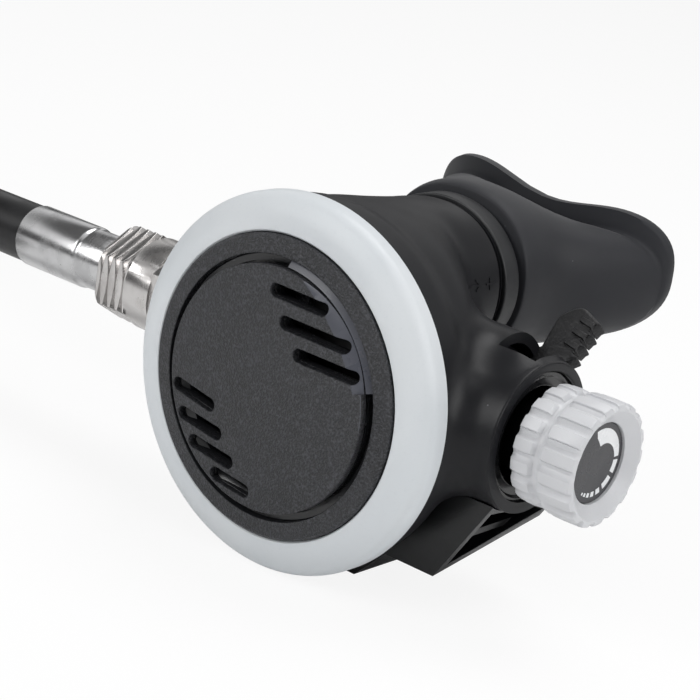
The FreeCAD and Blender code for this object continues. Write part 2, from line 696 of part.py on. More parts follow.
def slot_draw(reach, length, drop, slope, side):
    """A round-ended slot that runs in from the circle of radius reach.

    drop is the height of its outer end, slope its angle and side +1 or -1 for right or left.
    """
    across = root(reach * reach - drop * drop) * side
    run_x = cosine(slope) * length * side
    run_z = sine(slope) * length * side
    half = s.slot_width / 2
    off_x = sine(slope) * half
    off_z = cosine(slope) * half
    far_x = across - run_x
    far_z = drop - run_z

    def draw(sketch):
        outline(
            sketch,
            [
                (across + off_x * side, drop - off_z * side, half * 1.0001),
                (across - off_x * side, drop + off_z * side),
                (far_x - off_x * side, far_z + off_z * side, half * 1.0001),
                (far_x + off_x * side, far_z - off_z * side),
            ],
        )

    return draw


def purge_button():
    body = cover_body("purge_button")
    face = -s.cover_rise
    under = face + s.button_thickness
    shelf = face + s.groove_depth + s.groove_floor + s.button_clearance
    back = shelf + s.button_flange_thickness
    inner = s.button_radius - s.button_skirt
    turn(
        body,
        "Y",
        [
            (0, face),
            (s.button_radius - s.button_bevel, face),
            (s.button_radius, face + s.button_bevel),
            (s.button_radius, shelf),
            (s.button_flange_radius, shelf),
            (s.button_flange_radius, back),
            (inner, back),
            (inner, under),
            (s.stem_radius, under),
            (s.stem_radius, s.membrane_front - s.lever_tip_gap),
            (0, s.membrane_front - s.lever_tip_gap),
        ],
    )
    for k in range(3):
        height = s.upper_slot_height - s.upper_slot_pitch * k
        draw = slot_draw(s.upper_slot_reach, s.upper_slot_length, height, -s.slot_turn, 1)
        slab(body, "XZ", face, s.button_thickness, draw, cut=True)
    for k in range(4):
        height = -s.lower_slot_height - s.lower_slot_pitch * k
        slope = -s.lower_slot_turn - s.lower_slot_fan * (1.5 - k)
        draw = slot_draw(s.lower_slot_reach, s.lower_slot_length, height, slope, -1)
        slab(body, "XZ", face, s.button_thickness, draw, cut=True)


def diaphragm():
    front = s.membrane_front
    back = front + s.membrane_thickness
    seat = s.ledge_depth - s.seat_gap / 2
    clamp = s.flange_depth + s.seat_gap / 2
    outer = s.nose_bore - s.flange_gap
    skin = s.membrane_thickness
    turn(
        cover_body("diaphragm"),
        "Y",
        [
            (0, front),
            (s.roll_inner_radius, front),
            (s.roll_inner_radius + s.roll_slope, front + s.roll_depth),
            (s.roll_outer_radius, front + s.roll_depth),
            (s.bead_inner_radius, clamp),
            (outer, clamp),
            (outer, seat),
            (s.bead_inner_radius + skin, seat),
            (s.roll_outer_radius + skin, front + s.roll_depth + skin),
            (s.roll_inner_radius + s.roll_slope - skin / 2, front + s.roll_depth + skin),
            (s.roll_inner_radius - skin / 2, back),
            (0, back),
        ],
    )


def diaphragm_plate():
    start = s.membrane_front + s.membrane_thickness + s.plate_gap
    body = cover_body("diaphragm_plate")
    slab(body, "XZ", start, s.plate_thickness, circle_draw(0, 0, s.plate_radius))


def purge_spring():
    under = -s.cover_rise + s.button_thickness
    hub = s.cup_depth - s.hub_thickness
    margin = s.spring_clearance + s.purge_wire / 2
    radius = (s.stem_radius + s.hub_radius) / 2
    spring_piece(
        "purge_spring",
        radius,
        s.purge_wire,
        hub - under - margin * 2,
        s.purge_turns,
        FreeCAD.Rotation(FreeCAD.Vector(1, 0, 0), -90),
        y=-s.cover_offset + under + margin,
        z=s.ring_radius,
    )


# ---------------------------------------------------------------- case


def case_section(body, y, half, top, base, inset):
    sketch = new_sketch(body, "XZ", y)
    ellipse(sketch, (top + base) / 2, half - inset, (top - base) / 2 - inset)
    return sketch


def case_loft(body, inset, cut, start=ZERO, end=ZERO):
    """The case's oval body, from inside the drum to the mouth tube's rim."""
    sections = [
        case_section(body, s.shoulder_y + start, s.shoulder_half, s.shoulder_top, s.shoulder_base, inset),
        case_section(body, s.flank_y, s.flank_half, s.flank_top, s.flank_base, inset),
        case_section(body, s.saddle_y, s.saddle_half, s.saddle_top, s.saddle_base, inset),
        case_section(body, s.neck_y, s.neck_half, s.neck_top, s.neck_base, inset),
        case_section(body, s.tube_y + end, s.tube_half, s.tube_top, s.tube_base, inset),
    ]
    kind = "PartDesign::SubtractiveLoft" if cut else "PartDesign::AdditiveLoft"
    loft = body.newObject(kind, f"{body.Name}_loft")
    loft.Profile = sections[0]
    loft.Sections = sections[1:]
    return loft


def drum_profile():
    """Nose and drum of the case, about the cover's axis."""
    shoulder = s.ring_depth + s.seat_gap
    nose = s.ring_lip + s.seat_gap
    return [
        (0, nose),
        (s.nose_radius, nose),
        (s.nose_radius, shoulder),
        (s.drum_radius, shoulder),
        (s.drum_radius, s.drum_depth - s.drum_edge, s.drum_edge),
        (s.drum_radius - s.drum_edge, s.drum_depth),
        (0, s.drum_depth),
    ]


def on_cover_axis(body, axis_z, points, cut=False):
    """Revolve a profile about the cover's axis in a body that stands in the row's frame."""
    sketch = new_sketch(body, "XY", axis_z)
    outline(sketch, [(p[0], p[1] - s.cover_offset, *p[2:]) for p in points])
    kind = "PartDesign::Groove" if cut else "PartDesign::Revolution"
    feature = body.newObject(kind, f"{body.Name}_{'groove' if cut else 'turn'}")
    feature.Profile = sketch
    feature.ReferenceAxis = (sketch, ["V_Axis"])
    feature.Angle = 360
    return feature


def case():
    body = new_body("case")
    wall = s.case_wall
    axis = s.barrel_z
    half_tall = (s.tube_top - s.tube_base) / 2
    tube_z = (s.tube_top + s.tube_base) / 2
    boss_x = s.bulkhead_x
    bore = s.boss_radius - s.boss_wall

    def spigot(inset):
        wide = s.tube_half - s.spigot_step - inset
        high = half_tall - s.spigot_step - inset
        return lambda sketch: ellipse(sketch, tube_z, wide, high)

    on_cover_axis(body, s.ring_radius, drum_profile())
    case_loft(body, ZERO, cut=False)
    slab(body, "YZ", ZERO, s.boss_end, circle_draw(0, axis, s.boss_radius))
    mouth = boss_x + s.bulkhead_wall
    slab(body, "YZ", mouth, s.boss_end - mouth, circle_draw(0, axis, bore), cut=True)
    slab(body, "YZ", -s.inlet_boss_end, s.inlet_boss_end, circle_draw(0, axis, s.inlet_boss_radius))
    slab(body, "XY", s.port_base, s.port_height, circle_draw(0, s.port_y, s.port_radius))
    slab(body, "XZ", s.tube_y, s.spigot_length, spigot(ZERO))

    nose = s.ring_lip
    on_cover_axis(
        body,
        s.ring_radius,
        [
            (0, nose),
            (s.nose_bore, nose),
            (s.nose_bore, s.ledge_depth),
            (s.ledge_bore, s.ledge_depth),
            (s.ledge_bore, s.drum_depth - wall),
            (0, s.drum_depth - wall),
        ],
        cut=True,
    )
    case_loft(body, wall, cut=True, end=-wall)
    slab(body, "XY", s.port_base, s.port_height, circle_draw(0, s.port_y, s.port_bore), cut=True)
    slab(body, "XZ", s.neck_y, s.tube_y + s.spigot_length - s.neck_y, spigot(s.spigot_wall), cut=True)

    inlet_width = s.inlet_boss_end - s.inlet_boss_start
    inner = circle_draw(0, axis, s.inlet_boss_radius - s.boss_inset)
    slab(body, "YZ", -s.inlet_boss_end, inlet_width, inner)
    bulkhead = circle_draw(0, axis, s.boss_radius - s.boss_inset)
    slab(body, "YZ", boss_x, s.bulkhead_wall, bulkhead)
    hole = circle_draw(0, axis, s.barrel_radius + s.thread_gap + s.slip_gap)
    slab(body, "YZ", -s.inlet_boss_end, s.inlet_boss_end, hole, cut=True)
    flange = circle_draw(0, axis, s.barrel_flange_radius + s.vane_gap)
    slab(body, "YZ", -s.inlet_boss_start, s.inlet_boss_start, flange, cut=True)
    passage = circle_draw(0, axis, s.vane_radius + s.vane_gap)
    slab(body, "YZ", ZERO, boss_x, passage, cut=True)
    sleeve = circle_draw(0, axis, s.sleeve_radius + s.slip_gap)
    slab(body, "YZ", ZERO, s.boss_end, sleeve, cut=True)
    start = s.tab_angle - s.window_margin
    end = s.tab_angle + s.venturi_travel + s.window_margin
    window = sector_draw(axis, bore - 1, s.boss_radius + 3, start, end)
    reach = s.tab_width + s.seat_gap * 6
    slab(body, "YZ", s.tab_start - s.seat_gap * 3, reach, window, cut=True)


# ---------------------------------------------------------------- barrel side


def air_barrel():
    body = barrel_body("air_barrel")
    inlet = -s.barrel_inlet_end
    flange = -s.inlet_boss_start + s.seat_gap
    turn(
        body,
        "X",
        [
            (inlet, s.barrel_inlet_bore),
            (inlet, s.barrel_thread_radius),
            (inlet + s.barrel_thread_length, s.barrel_thread_radius),
            (inlet + s.barrel_thread_length, s.barrel_radius),
            (flange, s.barrel_radius),
            (flange, s.barrel_flange_radius),
            (flange + s.barrel_flange_width, s.barrel_flange_radius),
            (flange + s.barrel_flange_width, s.barrel_radius),
            (s.barrel_knob_end, s.barrel_radius),
            (s.barrel_knob_end, s.barrel_bore),
            (inlet + s.barrel_inlet_depth, s.barrel_bore),
            (inlet + s.barrel_inlet_depth, s.barrel_inlet_bore),
        ],
    )
    x0 = s.foot_slot_x - s.foot_slot_length / 2
    half = s.foot_slot_height / 2
    slot = box_draw(x0, x0 + s.foot_slot_length, -half, half)
    slab(body, "XY", -s.barrel_radius - 1, s.barrel_radius * 2 + 2, slot, cut=True)
    slab(body, "XZ", ZERO, s.barrel_radius + 1, circle_draw(s.outlet_x, 0, s.outlet_radius), cut=True)


def barrel_locknut():
    body = barrel_body("barrel_locknut")
    start = -s.inlet_boss_end - s.seat_gap - s.locknut_width
    slab(body, "YZ", start, s.locknut_width, hexagon_draw(s.locknut_flats))
    bore = circle_draw(0, 0, s.barrel_radius + s.thread_gap)
    slab(body, "YZ", start, s.locknut_width, bore, cut=True)


def orifice():
    front = -s.orifice_front
    radius = s.barrel_bore - s.orifice_gap
    crown = s.orifice_crown_radius
    groove = front - s.seal_section * 5
    floor = radius - s.seal_section * 2
    turn(
        barrel_body("orifice"),
        "X",
        [
            (-s.orifice_back, s.orifice_bore),
            (-s.orifice_back, radius),
            (groove - s.seal_section, radius),
            (groove - s.seal_section, floor),
            (groove + s.seal_section, floor),
            (groove + s.seal_section, radius),
            (front, radius),
            (front, crown + s.orifice_crown),
            (front + s.orifice_crown, crown),
            (front + s.orifice_crown, s.orifice_bore),
        ],
    )


def seal_profile(x, outer, wire):
    """An eight-sided section for a seal whose outside is at radius outer."""
    middle = outer - wire
    side = wire * math.tan(math.radians(22.5))
    return [
        (x - wire, middle - side),
        (x - side, middle - wire),
        (x + side, middle - wire),
        (x + wire, middle - side),
        (x + wire, middle + side),
        (x + side, middle + wire),
        (x - side, middle + wire),
        (x - wire, middle + side),
    ]


def ring_seal(name, x, outer, wire):
    turn(barrel_body(name), "X", seal_profile(x, outer, wire))


def orifice_seal():
    x = -s.orifice_front - s.seal_section * 5
    ring_seal("orifice_seal", x, s.barrel_bore - s.orifice_gap, s.seal_section - s.orifice_gap)


def valve_seat_disc():
    body = barrel_body("valve_seat")
    slab(body, "YZ", -s.seat_start, s.seat_thickness, circle_draw(0, 0, s.seat_radius))


def poppet():
    start = -s.seat_start + s.seat_thickness
    radius = s.barrel_bore - s.slip_gap
    shoulder = s.poppet_shoulder_x
    end = shoulder + s.poppet_shoulder_width
    nose = s.spring_radius - s.spring_wire / 2 - s.spring_clearance
    lip = start - s.seat_thickness / 2
    body = barrel_body("poppet")
    turn(
        body,
        "X",
        [
            (start, 0),
            (start, s.seat_radius),
            (lip, s.seat_radius),
            (lip, radius),
            (start + s.poppet_head, radius),
            (start + s.poppet_head, s.poppet_rod),
            (shoulder, s.poppet_rod),
            (shoulder, radius),
            (end, radius),
            (end, nose),
            (end + s.poppet_shoulder_width, nose),
            (end + s.poppet_shoulder_width, 0),
        ],
    )
    flat = box_draw(s.poppet_rod * 1.4, s.barrel_radius, -s.barrel_radius, s.barrel_radius)
    cut = slab(body, "YZ", start, s.poppet_head, flat, cut=True)
    around(body, cut, "X", as_size(4))


def poppet_spring():
    start = s.poppet_shoulder_x + s.poppet_shoulder_width + s.spring_clearance + s.spring_wire / 2
    end = s.pad_x - s.spring_clearance - s.spring_wire / 2
    spring_piece(
        "poppet_spring",
        s.spring_radius,
        s.spring_wire,
        end - start,
        s.spring_turns,
        FreeCAD.Rotation(FreeCAD.Vector(0, 1, 0), 90),
        x=start,
        z=s.barrel_z,
    )


def adjuster_pad():
    radius = s.barrel_bore - s.slip_gap
    middle = s.pad_x + s.pad_length / 2
    floor = radius - s.pad_groove
    turn(
        barrel_body("adjuster_pad"),
        "X",
        [
            (s.pad_x, 0),
            (s.pad_x, radius),
            (middle - s.seal_section, radius),
            (middle - s.seal_section, floor),
            (middle + s.seal_section, floor),
            (middle + s.seal_section, radius),
            (s.pad_x + s.pad_length, radius),
            (s.pad_x + s.pad_length, 0),
        ],
    )


def adjuster_seal():
    radius = s.barrel_bore - s.slip_gap
    x = s.pad_x + s.pad_length / 2
    ring_seal("adjuster_seal", x, radius, s.pad_groove / 2)


def adjuster_gland():
    head = s.barrel_knob_end + s.seat_gap
    bore = s.screw_radius + s.screw_gap
    radius = s.barrel_bore - s.orifice_gap
    turn(
        barrel_body("adjuster_gland"),
        "X",
        [
            (s.gland_x, bore),
            (s.gland_x, radius),
            (head, radius),
            (head, s.gland_head_radius),
            (head + s.gland_head, s.gland_head_radius),
            (head + s.gland_head, bore),
        ],
    )


def adjusting_screw():
    body = barrel_body("adjusting_screw")
    start = s.pad_x + s.pad_length + s.plate_gap
    tip = s.dial_x - s.dial_thickness - s.dial_gap - s.knob_screw_height
    slab(body, "YZ", start, tip - start, circle_draw(0, 0, s.screw_radius))
    hole = circle_draw(0, 0, s.knob_screw_radius)
    slab(body, "YZ", tip - s.knob_screw_length, s.knob_screw_length, hole, cut=True)


def adjustment_knob():
    body = barrel_body("adjustment_knob")
    recess = s.dial_x - s.dial_thickness - s.dial_gap
    seat = recess - s.knob_screw_height
    dial = s.dial_radius + s.dial_gap
    head = s.knob_screw_head + s.dial_gap
    end = s.knob_end
    turn(
        body,
        "X",
        [
            (s.knob_back, s.knob_cavity_radius),
            (s.knob_back, s.knob_rear_radius),
            (s.knob_rear_end, s.knob_rear_radius),
            (s.knob_rear_end, s.knob_waist_radius),
            (s.knob_front_start, s.knob_waist_radius),
            (s.knob_front_start, s.knob_front_radius),
            (end - s.knob_bevel, s.knob_front_radius),
            (end, s.knob_front_radius - s.knob_bevel),
            (end, s.knob_rim_radius),
            (s.dial_x, dial),
            (recess, dial),
            (recess, head),
            (seat, head),
            (seat, s.screw_radius),
            (s.knob_hub_start, s.screw_radius),
            (s.knob_hub_start, s.knob_hub_radius),
            (s.knob_cavity_end, s.knob_hub_radius),
            (s.knob_cavity_end, s.knob_cavity_radius),
        ],
    )
    half = s.grip_notch_width / 2
    for start, stop, radius in (
        (s.knob_back, s.knob_rear_end, s.knob_rear_radius),
        (s.knob_front_start, s.knob_end, s.knob_front_radius),
    ):
        depth = radius - s.grip_notch_depth
        notch = slab(body, "YZ", start, stop - start, box_draw(-half, half, depth, radius + 1), cut=True)
        around(body, notch, "X", s.grip_count)


def knob_dial():
    body = barrel_body("knob_dial")
    start = s.dial_x - s.dial_thickness
    slab(body, "YZ", start, s.dial_thickness, circle_draw(0, 0, s.dial_radius))


def knob_screw():
    seat = s.dial_x - s.dial_thickness - s.dial_gap - s.knob_screw_height
    top = seat + s.knob_screw_height - s.plate_gap
    shank = s.knob_screw_radius - s.orifice_gap
    turn(
        barrel_body("knob_screw"),
        "X",
        [
            (seat - s.knob_screw_length + s.seat_gap, 0),
            (seat - s.knob_screw_length + s.seat_gap, shank),
            (seat, shank),
            (seat, s.knob_screw_head),
            (top, s.knob_screw_head),
            (top, 0),
        ],
    )


def arm_spot(angle, half, radius, side):
    """A point at radius along an arm that leaves the axis at angle, half its thickness to a side."""
    across = half * side
    y = radius * cosine(angle) - across * sine(angle)
    z = radius * sine(angle) + across * cosine(angle)
    return y, z


def venturi_lever():
    body = barrel_body("venturi_lever")
    bore = s.barrel_radius + s.slip_gap
    angle = s.tab_angle
    step = s.collar_end - s.collar_step
    turn(
        body,
        "X",
        [
            (s.collar_start, bore),
            (s.collar_start, s.collar_radius),
            (step, s.collar_radius),
            (step, s.collar_step_radius),
            (s.collar_end, s.collar_step_radius),
            (s.collar_end, bore),
        ],
    )
    root_radius = (bore + s.collar_radius) / 2
    half = s.tab_thickness / 2

    def tab(sketch):
        tip = s.tab_tip_radius - half
        ends = [(root_radius, -1), (tip, -1), (tip, 1), (root_radius, 1)]
        corners = [arm_spot(angle, half, radius, side) for radius, side in ends]
        corners[1] = (*corners[1], half * s.half_turn)
        outline(sketch, corners)

    slab(body, "YZ", s.tab_start, s.tab_width, tab)
    for k in range(int(s.tab_notch_count.value)):
        radius = s.tab_tip_radius - s.tab_notch_pitch * (k + 1)
        y, z = arm_spot(angle, half, radius, -1)
        notch = circle_draw(y, z, s.tab_notch_radius)
        slab(body, "YZ", s.tab_start, s.tab_width, notch, cut=True)


def venturi_vane():
    body = barrel_body("venturi_vane")
    bore = s.barrel_radius + s.slip_gap
    ring_end = s.bulkhead_x - s.seat_gap * 3
    turn(
        body,
        "X",
        [
            (s.sleeve_start, bore),
            (s.sleeve_start, s.vane_radius),
            (ring_end, s.vane_radius),
            (ring_end, s.sleeve_radius),
            (s.collar_start - s.plate_gap, s.sleeve_radius),
            (s.collar_start - s.plate_gap, bore),
        ],
    )
    inner = s.barrel_radius + s.vane_bar_gap
    start = s.vane_angle - s.vane_half_angle
    end = s.vane_angle + s.vane_half_angle
    bar = sector_draw(ZERO, inner, s.vane_radius, start, end)
    slab(body, "YZ", s.vane_start, s.sleeve_start - s.vane_start + s.seat_gap, bar)
    middle = (inner + s.vane_radius) / 2
    half = s.vane_flap_thickness / 2
    angle = s.vane_angle

    def flap(sketch):
        reach = s.vane_flap_reach
        ends = [(middle, -1), (reach, -1), (reach, 1), (middle, 1)]
        outline(sketch, [arm_spot(angle, half, radius, side) for radius, side in ends])

    slab(body, "YZ", s.vane_start, s.vane_flap_length, flap)


def demand_lever():
    body = barrel_body("demand_lever")
    sheet = s.lever_sheet
    pivot_x = s.lever_pivot_x
    leg_half = s.lever_leg_width / 2
    outside = s.lever_leg_z + sheet
    bridge = -s.barrel_radius - s.lever_bridge_gap
    foot_back = s.poppet_shoulder_x - s.lever_foot_gap
    foot_half = s.lever_foot_height / 2
    tip_y = -s.cover_offset + s.membrane_front + s.membrane_thickness
    tip_y = tip_y + s.plate_gap + s.plate_thickness + s.lever_tip_gap

    def leg(sketch):
        outline(
            sketch,
            [
                (foot_back - s.lever_foot_width, foot_half),
                (pivot_x - leg_half, bridge),
                (pivot_x - leg_half, bridge - sheet),
                (pivot_x + leg_half, bridge - sheet),
                (pivot_x + leg_half, bridge + sheet),
                (foot_back, -foot_half),
                (foot_back, foot_half),
            ],
        )

    def foot(sketch):
        outline(
            sketch,
            [
                (foot_back - s.lever_foot_width, foot_half),
                (foot_back - s.lever_foot_width, -foot_half),
                (foot_back, -foot_half),
                (foot_back, foot_half),
            ],
        )

    def arm(sketch):
        tip = s.lever_tip_x
        round_x = s.lever_tip_radius
        outline(
            sketch,
            [
                (pivot_x - leg_half, bridge - sheet),
                (tip, tip_y + s.lever_tip_radius * 0.6, -round_x),
                (tip - round_x * 1.2, tip_y + s.lever_tip_radius * 0.6),
                (tip - round_x * 1.2, tip_y + s.lever_tip_radius * 0.6 + sheet),
                (tip, tip_y + s.lever_tip_radius * 0.6 + sheet),
                (pivot_x - leg_half, bridge),
            ],
        )

    crossing = box_draw(pivot_x - leg_half, pivot_x + leg_half, bridge - sheet, bridge)
    slab(body, "XY", -outside, outside * 2, crossing)
    slab(body, "XY", s.lever_leg_z, sheet, leg)
    slab(body, "XY", -outside, sheet, leg)
    reach = outside - s.lever_foot_reach
    slab(body, "XY", s.lever_foot_reach, reach, foot)
    slab(body, "XY", -outside, reach, foot)
    heel = circle_draw(pivot_x, s.lever_pivot_y, leg_half)
    slab(body, "XY", s.lever_leg_z, sheet, heel)
    slab(body, "XY", -outside, sheet, heel)
    half = s.lever_arm_width / 2
    slab(body, "XY", -half, s.lever_arm_width, arm)


# ---------------------------------------------------------------- exhaust


def exhaust_seat():
    body = new_body("exhaust_seat")
    place(body, y=s.port_y)
    radius = s.port_bore - s.seat_gap / 2
    start = s.port_base
    thick = s.valve_seat_thickness
    slab(body, "XY", start, thick, circle_draw(0, 0, radius))
    slab(body, "XY", start, thick, circle_draw(0, 0, radius - s.valve_seat_rim), cut=True)
    half = s.valve_seat_arm / 2
    reach = radius - s.valve_seat_rim / 2
    arm = slab(body, "XY", start, thick, box_draw(s.valve_stem, reach, -half, half))
    around(body, arm, "Z", s.valve_seat_arms)
    slab(body, "XY", start, thick, circle_draw(0, 0, s.valve_seat_hub))
    slab(body, "XY", start, thick, circle_draw(0, 0, s.valve_stem + s.seat_gap), cut=True)


def exhaust_valve():
    body = new_body("exhaust_valve")
    place(body, y=s.port_y)
    top = s.port_base - s.seat_gap
    base = top - s.valve_thickness
    over = s.port_base + s.valve_seat_thickness + s.seat_gap
    turn(
        body,
        "Z",
        [
            (0, base),
            (s.valve_radius, base + s.valve_thickness / 2),
            (s.valve_radius, top),
            (s.valve_stem, top),
            (s.valve_stem, over),
            (s.valve_bulb, over + s.valve_thickness),
            (s.valve_stem, over + s.valve_bulb * 2),
            (0, over + s.valve_bulb * 2),
        ],
    )


def wing_profile(inset):
    """A wing's section across the barrel, pulled in by inset."""
    return [
        (s.tee_front + inset, s.tee_tip_height + inset * 1.4),
        (s.tee_back - inset, s.tee_back_base + inset * 1.1),
        (s.tee_back - inset, s.tee_back_top - inset),
        (s.tee_front + inset, s.tee_front_top - inset * 1.3),
    ]


def exhaust_tee():
    body = new_body("exhaust_tee")
    wall = s.tee_wall
    wide = s.tee_top_half + 1
    front = s.tee_front - 1
    through = s.tee_back - s.tee_front + 2

    def keel(inset):
        foot = s.keel_foot_half - inset
        flare = s.keel_half - inset
        high = s.tee_tip_height + wall
        return [(foot, inset), (flare, high), (-flare, high), (-foot, inset)]

    def wing(sketch):
        outline(sketch, wing_profile(ZERO))

    def hollow(sketch):
        outline(sketch, wing_profile(wall))

    slab(body, "YZ", -wide, wide * 2, wing)
    width = s.tee_back - s.tee_front
    slab(body, "XZ", s.tee_front, width, outline_draw(keel(ZERO)))
    under_back = [
        (s.keel_foot_back, -1),
        (s.tee_back + 1, -1),
        (s.tee_back + 1, s.keel_back_height),
        (s.tee_back, s.keel_back_height),
        (s.keel_foot_back, 0),
    ]
    slab(body, "YZ", -s.keel_half, s.keel_half * 2, outline_draw(under_back), cut=True)
    slope = (s.tee_top_half - s.tee_tip_half) / (s.tee_front_top - s.tee_tip_height)
    low = s.tee_tip_half - s.tee_tip_height * slope
    high = s.tee_front_top + 2
    for side in (1, -1):
        ends = [
            (low * side, 0),
            ((wide + 1) * side, 0),
            ((wide + 1) * side, high),
            ((low + high * slope) * side, high),
        ]
        slab(body, "XZ", front, through, outline_draw(ends), cut=True)
    slab(body, "YZ", -wide, wide * 2, hollow, cut=True)
    inner = width - wall * 2
    slab(body, "XZ", s.tee_front + wall, inner, outline_draw(keel(wall)), cut=True)
    back_fill = [
        (s.keel_foot_back - wall, 0),
        (s.keel_foot_back, 0),
        (s.tee_back, s.keel_back_height),
        (s.tee_back, s.keel_back_height + wall * 2),
        (s.keel_foot_back - wall, wall),
    ]
    slab(body, "YZ", -s.keel_foot_half, s.keel_foot_half * 2, outline_draw(back_fill))
    half = s.tee_rib / 2
    depth = width - wall
    reach = low + s.tee_rib_height * slope - s.tee_rib_start - wall
    for start in (s.tee_rib_start, -s.tee_rib_start - reach):
        rib = box_draw(start, start + reach, s.tee_rib_height - half, s.tee_rib_height + half)
        slab(body, "XZ", s.tee_front + wall / 2, depth, rib)
    collar = s.port_radius + s.tee_gap
    base = s.port_base
    ring = circle_draw(0, s.port_y, collar + s.port_collar)
    slab(body, "XY", base, s.port_collar_height, ring)
    in_front = box_draw(-wide, wide, s.port_y - wide, s.tee_front)
    slab(body, "XY", base, s.port_collar_height, in_front, cut=True)
    case_loft(body, -s.tee_gap, cut=True, start=-s.case_wall, end=s.case_wall)
    for start, radius in ((ZERO, s.boss_radius), (-wide, s.inlet_boss_radius)):
        slab(body, "YZ", start, wide, circle_draw(0, s.barrel_z, radius + s.tee_gap), cut=True)
    slab(body, "XY", base - s.tee_gap, s.port_height + 4, circle_draw(0, s.port_y, collar), cut=True)


# ---------------------------------------------------------------- mouthpiece


def tube_heights():
    return (s.tube_top + s.tube_base) / 2, (s.tube_top - s.tube_base) / 2


def oval_loft(body, sections, cut):
    sketches = []
    for y, z, wide, high in sections:
        sketch = new_sketch(body, "XZ", y)
        ellipse(sketch, z, wide, high)
        sketches.append(sketch)
    kind = "PartDesign::SubtractiveLoft" if cut else "PartDesign::AdditiveLoft"
    loft = body.newObject(kind, f"{body.Name}_loft")
    loft.Profile = sketches[0]
    loft.Sections = sketches[1:]
    return loft


def mouthpiece():
    body = new_body("mouthpiece")
    middle, tall = tube_heights()
    neck_half = s.tube_half - s.mouth_neck_step
    neck_tall = tall - s.mouth_neck_step
    start = s.tube_y + s.mouth_gap
    shield_mid = (s.shield_high + s.shield_low) / 2
    back = s.shield_front + s.shield_thickness
    chord = s.shield_half_width * s.shield_half_width
    sweep = (chord + s.shield_sweep * s.shield_sweep) / (s.shield_sweep * 2)
    end_y = s.shield_front + s.shield_sweep

    def strip(sketch):
        half = s.shield_half_width
        outline(
            sketch,
            [
                (-half, end_y, sweep),
                (half, end_y),
                (half, end_y + s.shield_thickness, -sweep),
                (-half, end_y + s.shield_thickness),
            ],
        )

    def corner(side, top):
        edge = s.shield_high if top else s.shield_low
        inward = -s.shield_corner if top else s.shield_corner
        wide = s.shield_half_width
        bend = s.shield_corner if (side > 0) == top else -s.shield_corner
        return [
            ((wide - s.shield_corner) * side, edge, -bend),
            (wide * side, edge + inward),
            ((wide + 1) * side, edge + inward),
            ((wide + 1) * side, edge - inward),
            ((wide - s.shield_corner) * side, edge - inward),
        ]

    slab(body, "XY", s.shield_low, s.shield_high - s.shield_low, strip)
    room = s.shield_thickness
    depth = s.shield_sweep + s.shield_thickness * 3
    for side in (1, -1):
        for top in (True, False):
            slab(body, "XZ", s.shield_front - room, depth, outline_draw(corner(side, top)), cut=True)
    neck = s.mouth_neck_end - start
    slab(body, "XZ", start, neck, lambda sketch: ellipse(sketch, middle, neck_half, neck_tall))
    oval_loft(
        body,
        [
            (s.mouth_neck_end, middle, neck_half, neck_tall),
            (s.mouth_throat_y, shield_mid, s.mouth_throat_half, s.mouth_throat_height),
            (s.mouth_flare_y, shield_mid, s.mouth_flare_half, s.mouth_flare_height),
        ],
        cut=False,
    )

    def hollow(sketch):
        half = s.shield_half_width
        back_y = end_y + s.shield_thickness
        deep = back_y + s.shield_sweep
        outline(sketch, [(-half, back_y, sweep), (half, back_y), (half, deep), (-half, deep)])

    slab(body, "XY", s.shield_low, s.shield_high - s.shield_low, hollow, cut=True)
    outer = s.bite_inner + s.bite_width
    root_y = s.shield_front + outer * outer / (sweep * 2) + s.seat_gap
    for inner in (s.bite_inner, -s.bite_inner - s.bite_width):
        half = s.bite_thickness / 2
        tab = box_draw(inner, inner + s.bite_width, shield_mid - half, shield_mid + half)
        slab(body, "XZ", root_y, s.bite_length, tab)
        rise = s.bite_height / 2
        rib = box_draw(inner, inner + s.bite_width, shield_mid - rise, shield_mid + rise)
        slab(body, "XZ", root_y + s.bite_length - s.bite_thickness, s.bite_thickness, rib)
    bore_half = neck_half - s.mouth_wall
    bore_tall = neck_tall - s.mouth_wall
    slab(body, "XZ", start, neck, lambda sketch: ellipse(sketch, middle, bore_half, bore_tall), cut=True)
    oval_loft(
        body,
        [
            (s.mouth_neck_end, middle, bore_half, bore_tall),
            (s.mouth_throat_y, shield_mid, s.air_half_width + 1, s.air_half_height + 1),
            (back + s.shield_thickness * 2, shield_mid, s.air_half_width, s.air_half_height),
        ],
        cut=True,
    )


def mouthpiece_tie():
    body = new_body("mouthpiece_tie")
    middle, tall = tube_heights()
    half = s.tube_half - s.mouth_neck_step + s.tie_gap
    high = tall - s.mouth_neck_step + s.tie_gap

    def oval(extra):
        return lambda sketch: ellipse(sketch, middle, half + extra, high + extra)

    slab(body, "XZ", s.tie_start, s.tie_width, oval(s.tie_thickness))
    head_base = middle - high - s.tie_head * 0.7
    head = box_draw(-s.tie_head / 2, s.tie_head / 2, head_base, middle - high + s.tie_thickness / 2)
    slab(body, "XZ", s.tie_start, s.tie_width, head)
    slab(body, "XZ", s.tie_start, s.tie_width, oval(ZERO), cut=True)


# ---------------------------------------------------------------- hose


